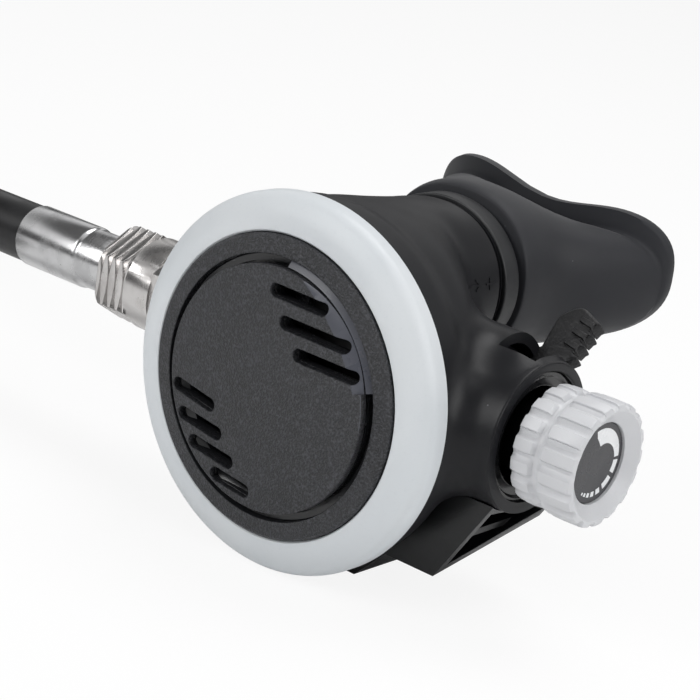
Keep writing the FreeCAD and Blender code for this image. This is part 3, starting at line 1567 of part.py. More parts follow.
def swivel_nut():
    body = barrel_body("swivel_nut")
    near = -s.nut_start
    far = -s.nut_end
    band_near = -s.nut_band_start
    band_far = -s.nut_band_end
    bore = s.barrel_thread_radius + s.thread_gap
    pocket = -s.stem_flange_x - s.plate_gap
    throat = s.stem_tube + s.seat_gap
    hex_corner = s.nut_flats / math.sqrt(3)
    turn(
        body,
        "X",
        [
            (near, bore),
            (near, hex_corner - s.nut_bevel),
            (near - s.nut_bevel, hex_corner),
            (band_near, hex_corner),
            (band_near, s.nut_band_radius),
            (band_far, s.nut_band_radius),
            (band_far, hex_corner),
            (far + s.nut_bevel, hex_corner),
            (far, hex_corner - s.nut_bevel),
            (far, throat),
            (pocket, throat),
            (pocket, bore),
        ],
    )
    pitch = (s.nut_end - s.nut_band_end) / s.nut_fin_count
    for k in range(int(s.nut_fin_count.value)):
        x = band_far - pitch * k
        inner = s.nut_flats / 2 - s.nut_fin_depth
        outer = hex_corner + s.nut_bevel
        turn(body, "X", [(x, outer), (x - pitch / 2, inner), (x - pitch, outer)], cut=True)
    half = s.nut_flats / 2
    flat = box_draw(half, hex_corner + s.nut_bevel, -s.nut_flats, s.nut_flats)
    for start, end in ((near, band_near), (band_far, far)):
        cut = slab(body, "YZ", end, start - end, flat, cut=True)
        around(body, cut, "X", as_size(6))


def hose_stem():
    inlet = -s.barrel_inlet_end
    nose = inlet + s.barrel_inlet_depth - s.seat_gap
    flange = -s.stem_flange_x
    nose_radius = s.barrel_inlet_bore - s.stem_nose_gap
    groove = (inlet + nose) / 2
    floor = nose_radius - s.seal_section * 2
    turn(
        barrel_body("hose_stem"),
        "X",
        [
            (nose, s.stem_bore),
            (nose, nose_radius),
            (groove + s.seal_section, nose_radius),
            (groove + s.seal_section, floor),
            (groove - s.seal_section, floor),
            (groove - s.seal_section, nose_radius),
            (flange + s.stem_flange_width, nose_radius),
            (flange + s.stem_flange_width, s.stem_flange),
            (flange, s.stem_flange),
            (flange, s.stem_tube),
            (-s.nut_end - s.plate_gap, s.stem_tube),
            (-s.nut_end - s.plate_gap, s.stem_neck),
            (-s.ferrule_start, s.stem_neck),
            (-s.ferrule_start, s.stem_tube - s.stem_bore / 2),
            (-s.ferrule_end, s.stem_tube - s.stem_bore / 2),
            (-s.ferrule_end, s.stem_bore),
        ],
    )


def stem_seal():
    inlet = -s.barrel_inlet_end
    nose = inlet + s.barrel_inlet_depth - s.seat_gap
    outer = s.barrel_inlet_bore - s.stem_nose_gap
    ring_seal("stem_seal", (inlet + nose) / 2, outer, s.seal_section - s.orifice_gap)


def ferrule_profile(start, end, sense):
    """A crimped sleeve from start to end along the hose; sense is +1 or -1 for its way."""
    liner = s.stem_tube - s.stem_bore / 2 + s.plate_gap
    neck = s.stem_neck
    return [
        (start, liner),
        (start, neck),
        (start + s.ferrule_slope * sense, s.ferrule_crimp),
        (start + s.ferrule_crimp_end * sense, s.ferrule_crimp),
        (start + (s.ferrule_crimp_end + s.ferrule_step) * sense, s.ferrule_radius),
        (end, s.ferrule_radius),
        (end, liner),
    ]


def hose_ferrule():
    body = barrel_body("hose_ferrule")
    turn(body, "X", ferrule_profile(-s.ferrule_start, -s.ferrule_end, -1))


def coil_point(angle, height):
    """A point on the middle line of the coil's turns."""
    x = s.coil_x + s.coil_radius * cosine(angle)
    y = s.coil_y + s.coil_radius * sine(angle)
    return FreeCAD.Vector(x.value, y.value, height.value)


def rounded_path(points):
    """Straight runs joined by arcs that touch them, each as large as its two runs allow."""
    edges = []
    radii = []
    last = points[0]
    for before, corner, after in zip(points, points[1:], points[2:]):
        back = before - corner
        ahead = after - corner
        cut = 0.49 * min(back.Length, ahead.Length)
        turn_angle = math.pi - back.getAngle(ahead)
        radii.append(cut / math.tan(turn_angle / 2))
        start = corner + back.normalize() * cut
        end = corner + ahead.normalize() * cut
        bisector = (back + ahead).normalize()
        depth = radii[-1] / math.cos(turn_angle / 2) - radii[-1]
        edges.append(Part.LineSegment(last, start).toShape())
        edges.append(Part.Arc(start, corner + bisector * depth, end).toShape())
        last = end
    edges.append(Part.LineSegment(last, points[-1]).toShape())
    print("hose bend radii:", " ".join(f"{r:.0f}" for r in radii))
    return Part.Wire(edges)


def hose_tube():
    start = FreeCAD.Vector(-s.ferrule_end.value, 0, s.barrel_z.value)
    route = [FreeCAD.Vector(*point) for point in HOSE_ROUTE]
    path = rounded_path([start, *route, coil_point(s.coil_start, s.coil_top_z)])
    way = path.Edges[0].tangentAt(path.Edges[0].FirstParameter)
    section = Part.Wire(Part.Circle(start, way, s.hose_radius.value).toShape())
    tube = doc.addObject("Part::Feature", "hose_tube")
    tube.Label = "hose_tube"
    tube.Shape = path.makePipeShell([section], True, False)
    straight = math.pi * s.hose_radius.value**2 * path.Length
    share = tube.Shape.Volume / straight
    print(f"hose_tube path {path.Length:.1f} mm, volume over section x length {share:.4f}")
    pieces.append(tube)


def hose_coil():
    body = new_body("hose_coil")
    place(body, s.coil_x, s.coil_y)
    outer = s.coil_radius + s.hose_radius
    inner = s.coil_radius - s.hose_radius
    top = s.coil_top_z + s.hose_radius
    under = s.coil_top_z - s.hose_radius
    slab(body, "XY", ZERO, top, circle_draw(0, 0, outer))
    slab(body, "XY", ZERO, top, circle_draw(0, 0, inner), cut=True)
    lower_gone = sector_draw(ZERO, inner - s.hose_radius, outer + s.hose_radius, s.coil_end, s.coil_drop)
    slab(body, "XY", ZERO, under, lower_gone, cut=True)
    upper_gone = sector_draw(ZERO, inner - s.hose_radius, outer + s.hose_radius, s.coil_floor, s.coil_start)
    slab(body, "XY", s.hose_radius * 2, top, upper_gone, cut=True)


def far_body(name):
    """A body whose X axis leaves the coil's end along the hose."""
    body = new_body(name)
    body.Placement.Rotation = FreeCAD.Rotation(FreeCAD.Vector(0, 0, 1), s.coil_end.value + 90)
    x = s.coil_x + s.coil_radius * cosine(s.coil_end)
    y = s.coil_y + s.coil_radius * sine(s.coil_end)
    place(body, x, y, s.ferrule_radius)
    return body


def far_ferrule():
    turn(far_body("far_ferrule"), "X", ferrule_profile(s.far_ferrule_length, ZERO, -1))


def far_fitting():
    body = far_body("far_fitting")
    liner = s.stem_tube - s.stem_bore / 2
    neck_end = s.far_ferrule_length + s.far_neck_length
    hex_end = neck_end + s.fitting_hex_width
    face_end = hex_end + s.fitting_face_width
    groove = s.fitting_seal_wire * 2
    corner = s.fitting_flats / math.sqrt(3)
    turn(
        body,
        "X",
        [
            (0, s.stem_bore),
            (0, liner),
            (s.far_ferrule_length + s.plate_gap, liner),
            (s.far_ferrule_length + s.plate_gap, s.far_neck_radius),
            (neck_end, s.far_neck_radius),
            (neck_end, corner),
            (hex_end, corner),
            (hex_end, s.fitting_face_radius),
            (face_end, s.fitting_face_radius),
            (face_end, s.fitting_thread_radius - s.thread_gap * 8),
            (face_end + groove, s.fitting_thread_radius - s.thread_gap * 8),
            (face_end + groove, s.fitting_thread_radius),
            (face_end + groove + s.fitting_thread_length, s.fitting_thread_radius),
            (face_end + groove + s.fitting_thread_length, s.stem_bore),
        ],
    )
    half = s.fitting_flats / 2
    flat = box_draw(-s.fitting_flats, s.fitting_flats, half, half + 3)
    cut = slab(body, "YZ", neck_end, s.fitting_hex_width, flat, cut=True)
    around(body, cut, "X", as_size(6))


def far_seal():
    body = far_body("far_seal")
    face = s.far_ferrule_length + s.far_neck_length + s.fitting_hex_width + s.fitting_face_width
    outer = s.fitting_thread_radius - s.thread_gap * 8 + s.fitting_seal_wire * 2
    turn(body, "X", seal_profile(face + s.fitting_seal_wire, outer, s.fitting_seal_wire))


for make in (
    front_ring,
    purge_cover,
    purge_button,
    diaphragm,
    diaphragm_plate,
    purge_spring,
    case,
    air_barrel,
    barrel_locknut,
    orifice,
    orifice_seal,
    valve_seat_disc,
    poppet,
    poppet_spring,
    adjuster_pad,
    adjuster_seal,
    adjuster_gland,
    adjusting_screw,
    adjustment_knob,
    knob_dial,
    knob_screw,
    venturi_lever,
    venturi_vane,
    demand_lever,
    exhaust_seat,
    exhaust_valve,
    exhaust_tee,
    mouthpiece,
    mouthpiece_tie,
    swivel_nut,
    hose_stem,
    stem_seal,
    hose_ferrule,
    hose_tube,
    hose_coil,
    far_ferrule,
    far_fitting,
    far_seal,
):
    make()
doc.recompute()

# ---------------------------------------------------------------- check and write

for item in doc.Objects:
    if "Invalid" in item.State or "Error" in item.State:
        raise RuntimeError(f"{item.Name} did not build: {item.State}")
for piece in pieces:
    shape = piece.Shape
    if shape.isNull() or not shape.isValid() or not shape.Solids:
        raise RuntimeError(f"{piece.Label} is not a sound solid")
os.makedirs("parts", exist_ok=True)
for piece in pieces:
    piece.Shape.exportStep(f"parts/{piece.Label}.step")
    box = piece.Shape.BoundBox
    print(
        f"{piece.Label:18s} {len(piece.Shape.Solids)} solid  {piece.Shape.Volume:9.1f} mm3  "
        f"x {box.XMin:7.2f} {box.XMax:7.2f}  y {box.YMin:7.2f} {box.YMax:7.2f}  "
        f"z {box.ZMin:7.2f} {box.ZMax:7.2f}"
    )
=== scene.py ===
import math

import bmesh
import bpy
from mathutils import Matrix, Vector
from mathutils.bvhtree import BVHTree


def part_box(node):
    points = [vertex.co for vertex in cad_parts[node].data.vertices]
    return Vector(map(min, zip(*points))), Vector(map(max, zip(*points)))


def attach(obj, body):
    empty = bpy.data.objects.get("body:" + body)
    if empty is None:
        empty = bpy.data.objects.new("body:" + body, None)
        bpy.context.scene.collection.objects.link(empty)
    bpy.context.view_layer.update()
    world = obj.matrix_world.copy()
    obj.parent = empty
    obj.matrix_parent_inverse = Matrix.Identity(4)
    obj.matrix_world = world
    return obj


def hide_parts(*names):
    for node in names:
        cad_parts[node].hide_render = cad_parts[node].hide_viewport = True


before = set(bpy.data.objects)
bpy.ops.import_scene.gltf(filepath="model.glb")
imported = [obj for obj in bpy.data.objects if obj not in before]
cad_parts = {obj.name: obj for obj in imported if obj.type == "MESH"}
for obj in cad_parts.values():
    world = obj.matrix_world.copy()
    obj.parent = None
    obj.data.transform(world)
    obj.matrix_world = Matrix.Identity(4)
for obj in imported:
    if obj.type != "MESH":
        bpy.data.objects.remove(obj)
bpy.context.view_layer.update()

MM = 0.001

# The cover's axis runs along Y at RING_Z, the air barrel's along X at BARREL_Z.
RING_LOW, RING_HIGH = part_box("front_ring")
RING_Z = (RING_LOW[2] + RING_HIGH[2]) / 2 / MM
BARREL_Z = RING_Z + 0.8
RING_EDGE_Y = -23.4
COVER_RISE = 0.9
COVER_FACE_Y = RING_EDGE_Y - 0.9
RING_RADIUS = (RING_HIGH[2] - RING_LOW[2]) / 2 / MM
RING_INNER_RADIUS = RING_RADIUS - 7.05
ALONG_X, ALONG_Y = (1, 0, 0), (0, 1, 0)

# Cover: the button's panel stands PANEL_RISE proud, and the glossy crescent's slope
# spans the degrees from RAMP_START to RAMP_END, clockwise from the top.
GROOVE_RADIUS = 24.2
GROOVE_INNER_RADIUS = 22.85
SEAT_RADIUS = 30.88
PANEL_RADIUS = 22.6
PANEL_RISE = 1.3
RAMP_START = 16
RAMP_END = 88
SCOOP_SHIFT = (-16, 0, -12)
SCOOP_RADIUS = 40
SLOT_HALF = 1.25
SLOT_REACH = 20.9

GRIP_COUNT = 17
DIAL_FACE_X = 54.9
PRINT_RADIUS = 6.3
LEVER_ANGLE = 47
LEVER_STEPS = 4
CASE_FILLET = 4.5
CASE_VOXEL = 0.7
PORT_Y = 4.2
SHIELD_SWEEP = 12
SHIELD_HALF = 29
MOUTH_Z = 52
NOTCH_X = 6.5
HOSE_RADIUS = 6.2


# ---------------- finishes


class Field:
    """A value that varies over a surface. Sums and products add Math nodes."""

    def __init__(self, finish, socket):
        self.finish = finish
        self.socket = socket

    def math(self, operation, *values):
        settings = {"operation": operation}
        inputs = dict(enumerate(values))
        return self.finish.add("ShaderNodeMath", settings, inputs)

    def __add__(self, other):
        return self.math("ADD", self, other)

    def __mul__(self, other):
        return self.math("MULTIPLY", self, other)

    __radd__ = __add__
    __rmul__ = __mul__

    def ramp(self, low, high, start=0.0, end=1.0):
        """Smooth change from start to end as the value goes from low to high."""
        settings = {"interpolation_type": "SMOOTHSTEP"}
        inputs = {0: self, 1: low, 2: high, 3: start, 4: end}
        return self.finish.add("ShaderNodeMapRange", settings, inputs)


class Finish:
    """A material on one Principled shader."""

    def __init__(self, name, **constants):
        self.material = bpy.data.materials.new(name)
        self.material.use_nodes = True
        self.nodes = self.material.node_tree.nodes
        self.links = self.material.node_tree.links
        self.shader = self.nodes["Principled BSDF"]
        for socket, value in constants.items():
            self.set(socket.replace("_", " "), value)

    def add(self, kind, settings=None, inputs=None, output=0):
        node = self.nodes.new(kind)
        for name, value in (settings or {}).items():
            setattr(node, name, value)
        for key, value in (inputs or {}).items():
            self.join(value, node.inputs[key])
        return Field(self, node.outputs[output])

    def join(self, value, socket):
        if isinstance(value, Field):
            self.links.new(value.socket, socket)
        else:
            socket.default_value = value

    def set(self, socket, value):
        self.join(value, self.shader.inputs[socket])

    def place(self):
        return self.add("ShaderNodeTexCoord", output="Object")

    def mapped(self, scale):
        return self.add("ShaderNodeMapping", None, {"Vector": self.place(), "Scale": scale})

    def noise(self, scale, detail=3.0, roughness=0.5, vector=None):
        """Noise whose scale counts cells in a millimetre."""
        inputs = {
            "Vector": vector or self.place(),
            "Scale": scale / MM,
            "Detail": detail,
            "Roughness": roughness,
        }
        return self.add("ShaderNodeTexNoise", None, inputs)

    def cells(self, scale, feature="F1"):
        inputs = {"Vector": self.place(), "Scale": scale / MM}
        return self.add("ShaderNodeTexVoronoi", {"feature": feature}, inputs)

    def blend(self, factor, first, second):
        inputs = {0: factor, 6: first, 7: second}
        return self.add("ShaderNodeMix", {"data_type": "RGBA"}, inputs, output=2)

    def colour(self, share, base, shade):
        self.set("Base Color", self.blend(share, base, shade))

    def specks(self, cells, size, patches, low, high):
        """Dots on the middle of some cells, in the patches where a noise is over low."""
        dots = self.cells(cells).ramp(0.0, size, 1.0, 0.0)
        return dots * self.noise(patches, 2).ramp(low, high)

    def relief(self, height, strength, depth):
        """Bump of a height between 0 and 1, depth in millimetres."""
        inputs = {"Strength": strength, "Distance": depth * MM, "Height": height}
        self.set("Normal", self.add("ShaderNodeBump", None, inputs))


def tint(red, green, blue):
    """Colour from display values between 0 and 255."""

    def linear(value):
        value = value / 255
        return value / 12.92 if value <= 0.04045 else ((value + 0.055) / 1.055) ** 2.4

    return (linear(red), linear(green), linear(blue), 1.0)


def satin_shell(name, base, shade, roughness):
    """Light moulded plastic with a soft sheen, faint flow marks and small nicks."""
    finish = Finish(name, Specular_IOR_Level=0.42, Coat_Roughness=0.3)
    flow = finish.noise(0.05, 2)
    dust = finish.noise(1.6, 4, 0.6)
    worn = flow.ramp(0.35, 0.65) * 0.6 + dust.ramp(0.55, 0.8) * 0.4
    finish.colour(worn, base, shade)
    finish.set("Roughness", roughness + flow * 0.08 + dust.ramp(0.5, 0.75) * 0.12)
    finish.set("Coat Weight", flow.ramp(0.3, 0.8, 0.05, 0.18))
    finish.relief(dust * 0.5 + finish.noise(0.4, 2), 0.12, 0.06)
    return finish.material


def grained_plastic(name, base, shade, grain, depth, roughness):
    """Dark plastic from a spark-eroded mould: fine pits, their crests painted paler as a painted
    highlight.
    """
    finish = Finish(name, Specular_IOR_Level=0.45)
    pits = finish.cells(grain, "SMOOTH_F1")
    fine = finish.noise(grain * 1.7, 3, 0.6)
    patches = finish.noise(0.08, 2)
    height = pits * 0.7 + fine * 0.5
    # painted highlight: the crests take the paler second tint; the patches are the plastic's own
    # uneven tone
    crest = height.ramp(0.45, 0.85)
    finish.colour(crest * 0.7 + patches * 0.3, base, shade)
    finish.set("Roughness", roughness + patches.ramp(0.3, 0.7, -0.05, 0.06) + crest * 0.08)
    finish.relief(height, 0.55, depth)
    return finish.material


def gloss_plastic(name, base, shade, roughness=0.16):
    """Smooth plastic with faint smears."""
    finish = Finish(name, Specular_IOR_Level=0.5)
    smear = finish.noise(0.12, 4, 0.65)
    finish.colour(smear, base, shade)
    finish.set("Roughness", smear.ramp(0.35, 0.75, roughness, roughness + 0.16))
    finish.relief(smear, 0.08, 0.05)
    return finish.material


def moulded_black(name):
    """Housing: satin black with soft flow marks, dust specks and a rubbed sheen."""
    finish = Finish(name, Specular_IOR_Level=0.26)
    flow = finish.noise(0.03, 3, 0.55)
    skin = finish.noise(2.2, 3, 0.55)
    dust = finish.specks(0.22, 0.045, 0.09, 0.5, 0.62)
    black = finish.blend(flow, tint(15, 15, 18), tint(21, 22, 26))
    finish.colour(dust * 0.55, black, tint(150, 152, 156))
    finish.set("Roughness", flow.ramp(0.3, 0.7, 0.36, 0.5) + skin * 0.06)
    finish.relief(skin, 0.16, 0.05)
    return finish.material


def silicone(name):
    """Mouthpiece: matte, powdery, with lint specks and faint mould lines."""
    finish = Finish(name, Specular_IOR_Level=0.32, Sheen_Weight=0.1, Sheen_Roughness=0.5)
    cloud = finish.noise(0.05, 4, 0.6)
    skin = finish.noise(1.4, 4, 0.6)
    lint = finish.specks(0.25, 0.05, 0.12, 0.48, 0.6)
    black = finish.blend(cloud, tint(27, 28, 32), tint(36, 37, 42))
    finish.colour(lint * 0.6, black, tint(160, 162, 168))
    finish.set("Roughness", cloud.ramp(0.3, 0.7, 0.5, 0.62))
    finish.relief(skin * 0.6 + cloud * 0.4, 0.14, 0.08)
    return finish.material


def turned_metal(name, base, shade, roughness):
    """Metal with the fine rings that a lathe leaves across its axis, X."""
    finish = Finish(name, Metallic=1.0)
    rings = finish.noise(1.1, 3, 0.6, finish.mapped((6.0, 0.35, 0.35)))
    tarnish = finish.noise(0.14, 4, 0.6)
    dulled = tarnish.ramp(0.35, 0.7) * 0.7 + rings * 0.3
    finish.colour(dulled, base, shade)
    finish.set("Roughness", roughness + rings * 0.12 + tarnish.ramp(0.4, 0.7) * 0.1)
    finish.relief(rings, 0.22, 0.04)
    return finish.material


def hose_rubber(name):
    """Smooth black rubber, a little scuffed."""
    finish = Finish(name, Specular_IOR_Level=0.5)
    cover = finish.noise(0.5, 3, 0.55)
    scuff = finish.noise(0.06, 4, 0.65)
    finish.colour(scuff, tint(5, 5, 7), tint(12, 12, 15))
    finish.set("Roughness", scuff.ramp(0.35, 0.7, 0.24, 0.42) + cover * 0.05)
    finish.relief(cover, 0.12, 0.06)
    return finish.material


def membrane_rubber(name):
    """Thin dark silicone."""
    finish = Finish(name, Specular_IOR_Level=0.45)
    cloud = finish.noise(0.2, 3)
    finish.colour(cloud, tint(12, 12, 13), tint(20, 20, 21))
    finish.set("Roughness", cloud.ramp(0.3, 0.7, 0.3, 0.45))
    return finish.material


RING_SATIN = satin_shell("ring_satin", tint(214, 218, 221), tint(203, 208, 212), 0.42)
KNOB_SATIN = satin_shell("knob_satin", tint(206, 207, 210), tint(195, 196, 199), 0.36)
COVER_GRAIN = grained_plastic("cover_grain", tint(17, 18, 20), tint(72, 73, 78), 2.7, 0.7, 0.38)
LEVER_GRAIN = grained_plastic("lever_grain", tint(11, 11, 13), tint(22, 22, 25), 1.8, 0.2, 0.46)
TEE_GRAIN = grained_plastic("tee_grain", tint(8, 9, 11), tint(14, 15, 18), 2.6, 0.04, 0.34)
GROOVE_GLOSS = gloss_plastic("groove_gloss", tint(30, 31, 33), tint(44, 45, 48))
RAMP_GLOSS = gloss_plastic("ramp_gloss", tint(66, 68, 76), tint(82, 84, 92), 0.24)
COLLAR_GLOSS = gloss_plastic("collar_gloss", tint(18, 18, 20), tint(28, 28, 30), 0.12)
DIAL_GLOSS = gloss_plastic("dial_gloss", tint(44, 44, 48), tint(52, 52, 56), 0.24)
DIAL_PRINT = gloss_plastic("dial_print", tint(236, 237, 238), tint(226, 228, 230), 0.25)
CASE_BLACK = moulded_black("case_black")
MOUTH_SILICONE = silicone("mouth_silicone")
TIE_NYLON = gloss_plastic("tie_nylon", tint(22, 23, 25), tint(30, 31, 34), 0.46)
FERRULE_STEEL = turned_metal("ferrule_steel", tint(206, 206, 207), tint(176, 176, 177), 0.16)
NUT_CHROME = turned_metal("nut_chrome", tint(206, 204, 203), tint(178, 175, 173), 0.18)
BARREL_BRASS = turned_metal("barrel_brass", tint(196, 190, 178), tint(170, 160, 142), 0.26)
BARREL_BLACK = turned_metal("barrel_black", tint(46, 46, 49), tint(34, 34, 37), 0.26)
SPRING_STEEL = turned_metal("spring_steel", tint(190, 190, 190), tint(160, 160, 160), 0.28)
SCREW_STEEL = turned_metal("screw_steel", tint(188, 187, 184), tint(158, 156, 152), 0.3)
HOSE_BLACK = hose_rubber("hose_black")
SEAL_BLACK = gloss_plastic("seal_black", tint(16, 16, 17), tint(26, 26, 27), 0.35)
MEMBRANE_BLACK = membrane_rubber("membrane_black")
INNER_WHITE = satin_shell("inner_white", tint(206, 205, 200), tint(190, 188, 182), 0.45)


# ---------------- making meshes


def polar(radius, angle):
    return (radius * math.cos(angle), radius * math.sin(angle))


def wire(tree, pairs):
    """Join outputs to inputs in a node tree."""
    for out, into in pairs:
        tree.links.new(out, into)


def soften(points, steps=6):
    """Outline with a rounding at each corner that gives its radius as a third value."""
    line = []
    count = len(points)
    for index, point in enumerate(points):
        corner = Vector(point[:2])
        radius = point[2] if len(point) > 2 else 0
        if not radius:
            line.append(corner)
            continue
        before = (Vector(points[index - 1][:2]) - corner).normalized()
        after = (Vector(points[(index + 1) % count][:2]) - corner).normalized()
        half = before.angle(after) / 2
        reach = radius / math.tan(half)
        middle = corner + (before + after).normalized() * (radius / math.sin(half))
        first = corner + before * reach - middle
        last = corner + after * reach - middle
        sweep = math.atan2(first.x * last.y - first.y * last.x, first.dot(last))
        for step in range(steps + 1):
            line.append(middle + Matrix.Rotation(sweep * step / steps, 2) @ first)
    return [tuple(point) for point in line]


def bowed(start, end, bulge, steps=12):
    """Points from start to end, bowed to the left by bulge at their middle."""
    start, end = Vector(start), Vector(end)
    side = Vector((start.y - end.y, end.x - start.x)).normalized()
    points = []
    for step in range(steps + 1):
        t = step / steps
        points.append(tuple(start.lerp(end, t) + side * (4 * bulge * t * (1 - t))))
    return points


def piece(name, shape, finish, body, replaces, sharp=32):
    """A finished object from a bmesh in millimetres, standing for nodes and riding on a body."""
    mesh = bpy.data.meshes.new(name)
    bmesh.ops.scale(shape, vec=(MM, MM, MM), verts=shape.verts)
    shape.to_mesh(mesh)
    shape.free()
    dress(name, mesh, finish, body, replaces, sharp)


def dress(name, mesh, finish, body, replaces, sharp):
    """The object of a mesh with one finish or a list of them."""
    obj = bpy.data.objects.new(name, mesh)
    bpy.context.collection.objects.link(obj)
    finishes = finish if isinstance(finish, (list, tuple)) else [finish]
    for material in finishes:
        mesh.materials.append(material)
    mesh.shade_smooth()
    mesh.set_sharp_from_angle(angle=math.radians(sharp))
    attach(obj, body)
    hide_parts(*replaces)


def lathe(profile, axis, centre, segments=180, finish_of=None):
    """Turn a closed outline of (radius, along) points about an axis through centre."""
    shape = bmesh.new()
    along = Vector(axis)
    first = Vector((0, 0, 1))
    second = along.cross(first)
    rings = []
    for step in range(segments):
        angle = 2 * math.pi * step / segments
        out = first * math.cos(angle) + second * math.sin(angle)
        places = [Vector(centre) + along * y + out * radius for radius, y in profile]
        rings.append([shape.verts.new(place) for place in places])
    count = len(profile)
    for step in range(segments):
        here = rings[step]
        there = rings[(step + 1) % segments]
        for k in range(count):
            n = (k + 1) % count
            if profile[k][0] < 1e-6 and profile[n][0] < 1e-6:
                continue
            face = shape.faces.new((here[k], there[k], there[n], here[n]))
            if finish_of:
                face.material_index = finish_of(profile[k], profile[n])
    bmesh.ops.remove_doubles(shape, verts=shape.verts, dist=1e-5)
    bmesh.ops.recalc_face_normals(shape, faces=shape.faces)
    return shape


def about_cover(profile, y, segments=180, finish_of=None):
    """Turned about the cover's axis, from y on."""
    return lathe(profile, ALONG_Y, (0, y, RING_Z), segments, finish_of)


def about_barrel(profile, segments=96):
    """Turned about the air barrel's axis."""
    return lathe(profile, ALONG_X, (0, 0, BARREL_Z), segments)


def stand_up(shape, y=0):
    """Turn a shape made along Y so that it stands along Z at y."""
    turn = Matrix(((1, 0, 0, 0), (0, 0, -1, y), (0, 1, 0, 0), (0, 0, 0, 1)))
    bmesh.ops.transform(shape, matrix=turn, verts=shape.verts)
    bmesh.ops.recalc_face_normals(shape, faces=shape.faces)
    return shape


def evaluated_mesh(obj):
    """Mesh of an object with its modifiers; the object goes."""
    bpy.context.view_layer.update()
    graph = bpy.context.evaluated_depsgraph_get()
    mesh = bpy.data.meshes.new_from_object(obj.evaluated_get(graph))
    bpy.data.objects.remove(obj)
    return mesh


def plate(outline, holes, depth, bevel, place):
    """A flat plate with holes and rounded edges. place takes its own frame into the object's."""
    curve = bpy.data.curves.new("plate", "CURVE")
    curve.dimensions = "2D"
    curve.fill_mode = "BOTH"
    curve.extrude = depth / 2 - bevel
    curve.bevel_depth = bevel
    curve.bevel_resolution = 2
    curve.offset = -bevel
    for ring in (outline, *holes):
        spline = curve.splines.new("POLY")
        spline.points.add(len(ring) - 1)
        for point, corner in zip(spline.points, ring):
            point.co = (corner[0], corner[1], 0, 1)
        spline.use_cyclic_u = True
    holder = bpy.data.objects.new("plate", curve)
    bpy.context.collection.objects.link(holder)
    flat = evaluated_mesh(holder)
    shape = bmesh.new()
    shape.from_mesh(flat)
    bmesh.ops.remove_doubles(shape, verts=shape.verts, dist=1e-5)
    bmesh.ops.transform(shape, matrix=place, verts=shape.verts)
    bmesh.ops.recalc_face_normals(shape, faces=shape.faces)
    bpy.data.meshes.remove(flat)
    return shape


def ring_of_points(radius, count):
    return [polar(radius, 2 * math.pi * k / count) for k in range(count)]


def facing_front(y, z=RING_Z):
    """A plate's frame whose x is +X, whose y is +Z and whose front face looks to -Y."""
    return Matrix(((1, 0, 0, 0), (0, 0, -1, y), (0, 1, 0, z), (0, 0, 0, 1)))


def facing_right(x):
    """A plate's frame on the barrel's axis, whose x is +Y, whose y is +Z and which looks to +X."""
    return Matrix(((0, 0, 1, x), (1, 0, 0, 0), (0, 1, 0, BARREL_Z), (0, 0, 0, 1)))


# ---------------- camera and light


CAMERA_PLACE = (0.2358, -0.3076, 0.1597)
CAMERA_RIGHT = (0.7534, 0.6407, 0.1482)
CAMERA_UP = (-0.3033, 0.1385, 0.9428)
CAMERA_LENS = 112.55
SENSOR_WIDTH = 36

# What the sky gives to most rays, and to reflections at a height from nadir 0 to zenith 1.
SKY_LEVEL = 0.26
REFLECTED_LEVELS = [
    (0.0, 0.3),
    (0.46, 0.22),
    (0.53, 0.03),
    (0.6, 0.04),
    (0.66, 0.95),
    (0.76, 0.8),
    (0.82, 0.08),
    (0.9, 0.1),
    (1.0, 0.8),
]

# name, place, size, power
SOFT_BOXES = [
    ("left_box", (-0.35, -0.75, 0.55), (0.5, 0.5), 4.0),
    ("right_box", (0.75, -0.05, 0.45), (0.4, 0.5), 2.8),
    ("top_box", (0.05, 0.25, 0.8), (0.6, 0.4), 3.3),
]
LIGHT_TARGET = (0, 0, 0.03)
FLOOR_SIZE = 6
FLOOR_GLOW = 0.88


def aim_camera():
    camera = bpy.data.objects.new("camera", bpy.data.cameras.new("camera"))
    bpy.context.collection.objects.link(camera)
    camera.data.lens = CAMERA_LENS
    camera.data.sensor_width = SENSOR_WIDTH
    right = Vector(CAMERA_RIGHT)
    up = Vector(CAMERA_UP)
    back = right.cross(up).normalized()
    up = back.cross(right).normalized()
    turn = Matrix((right.normalized(), up, back)).transposed().to_4x4()
    camera.matrix_world = Matrix.Translation(CAMERA_PLACE) @ turn
    camera.data.clip_start = 0.01
    bpy.context.scene.camera = camera


def soft_box(name, place, size, power):
    lamp = bpy.data.lights.new(name, "AREA")
    lamp.shape = "RECTANGLE"
    lamp.size, lamp.size_y = size
    lamp.energy = power
    holder = bpy.data.objects.new(name, lamp)
    bpy.context.collection.objects.link(holder)
    way = Vector(LIGHT_TARGET) - Vector(place)
    turn = way.to_track_quat("-Z", "Y").to_matrix().to_4x4()
    holder.matrix_world = Matrix.Translation(place) @ turn


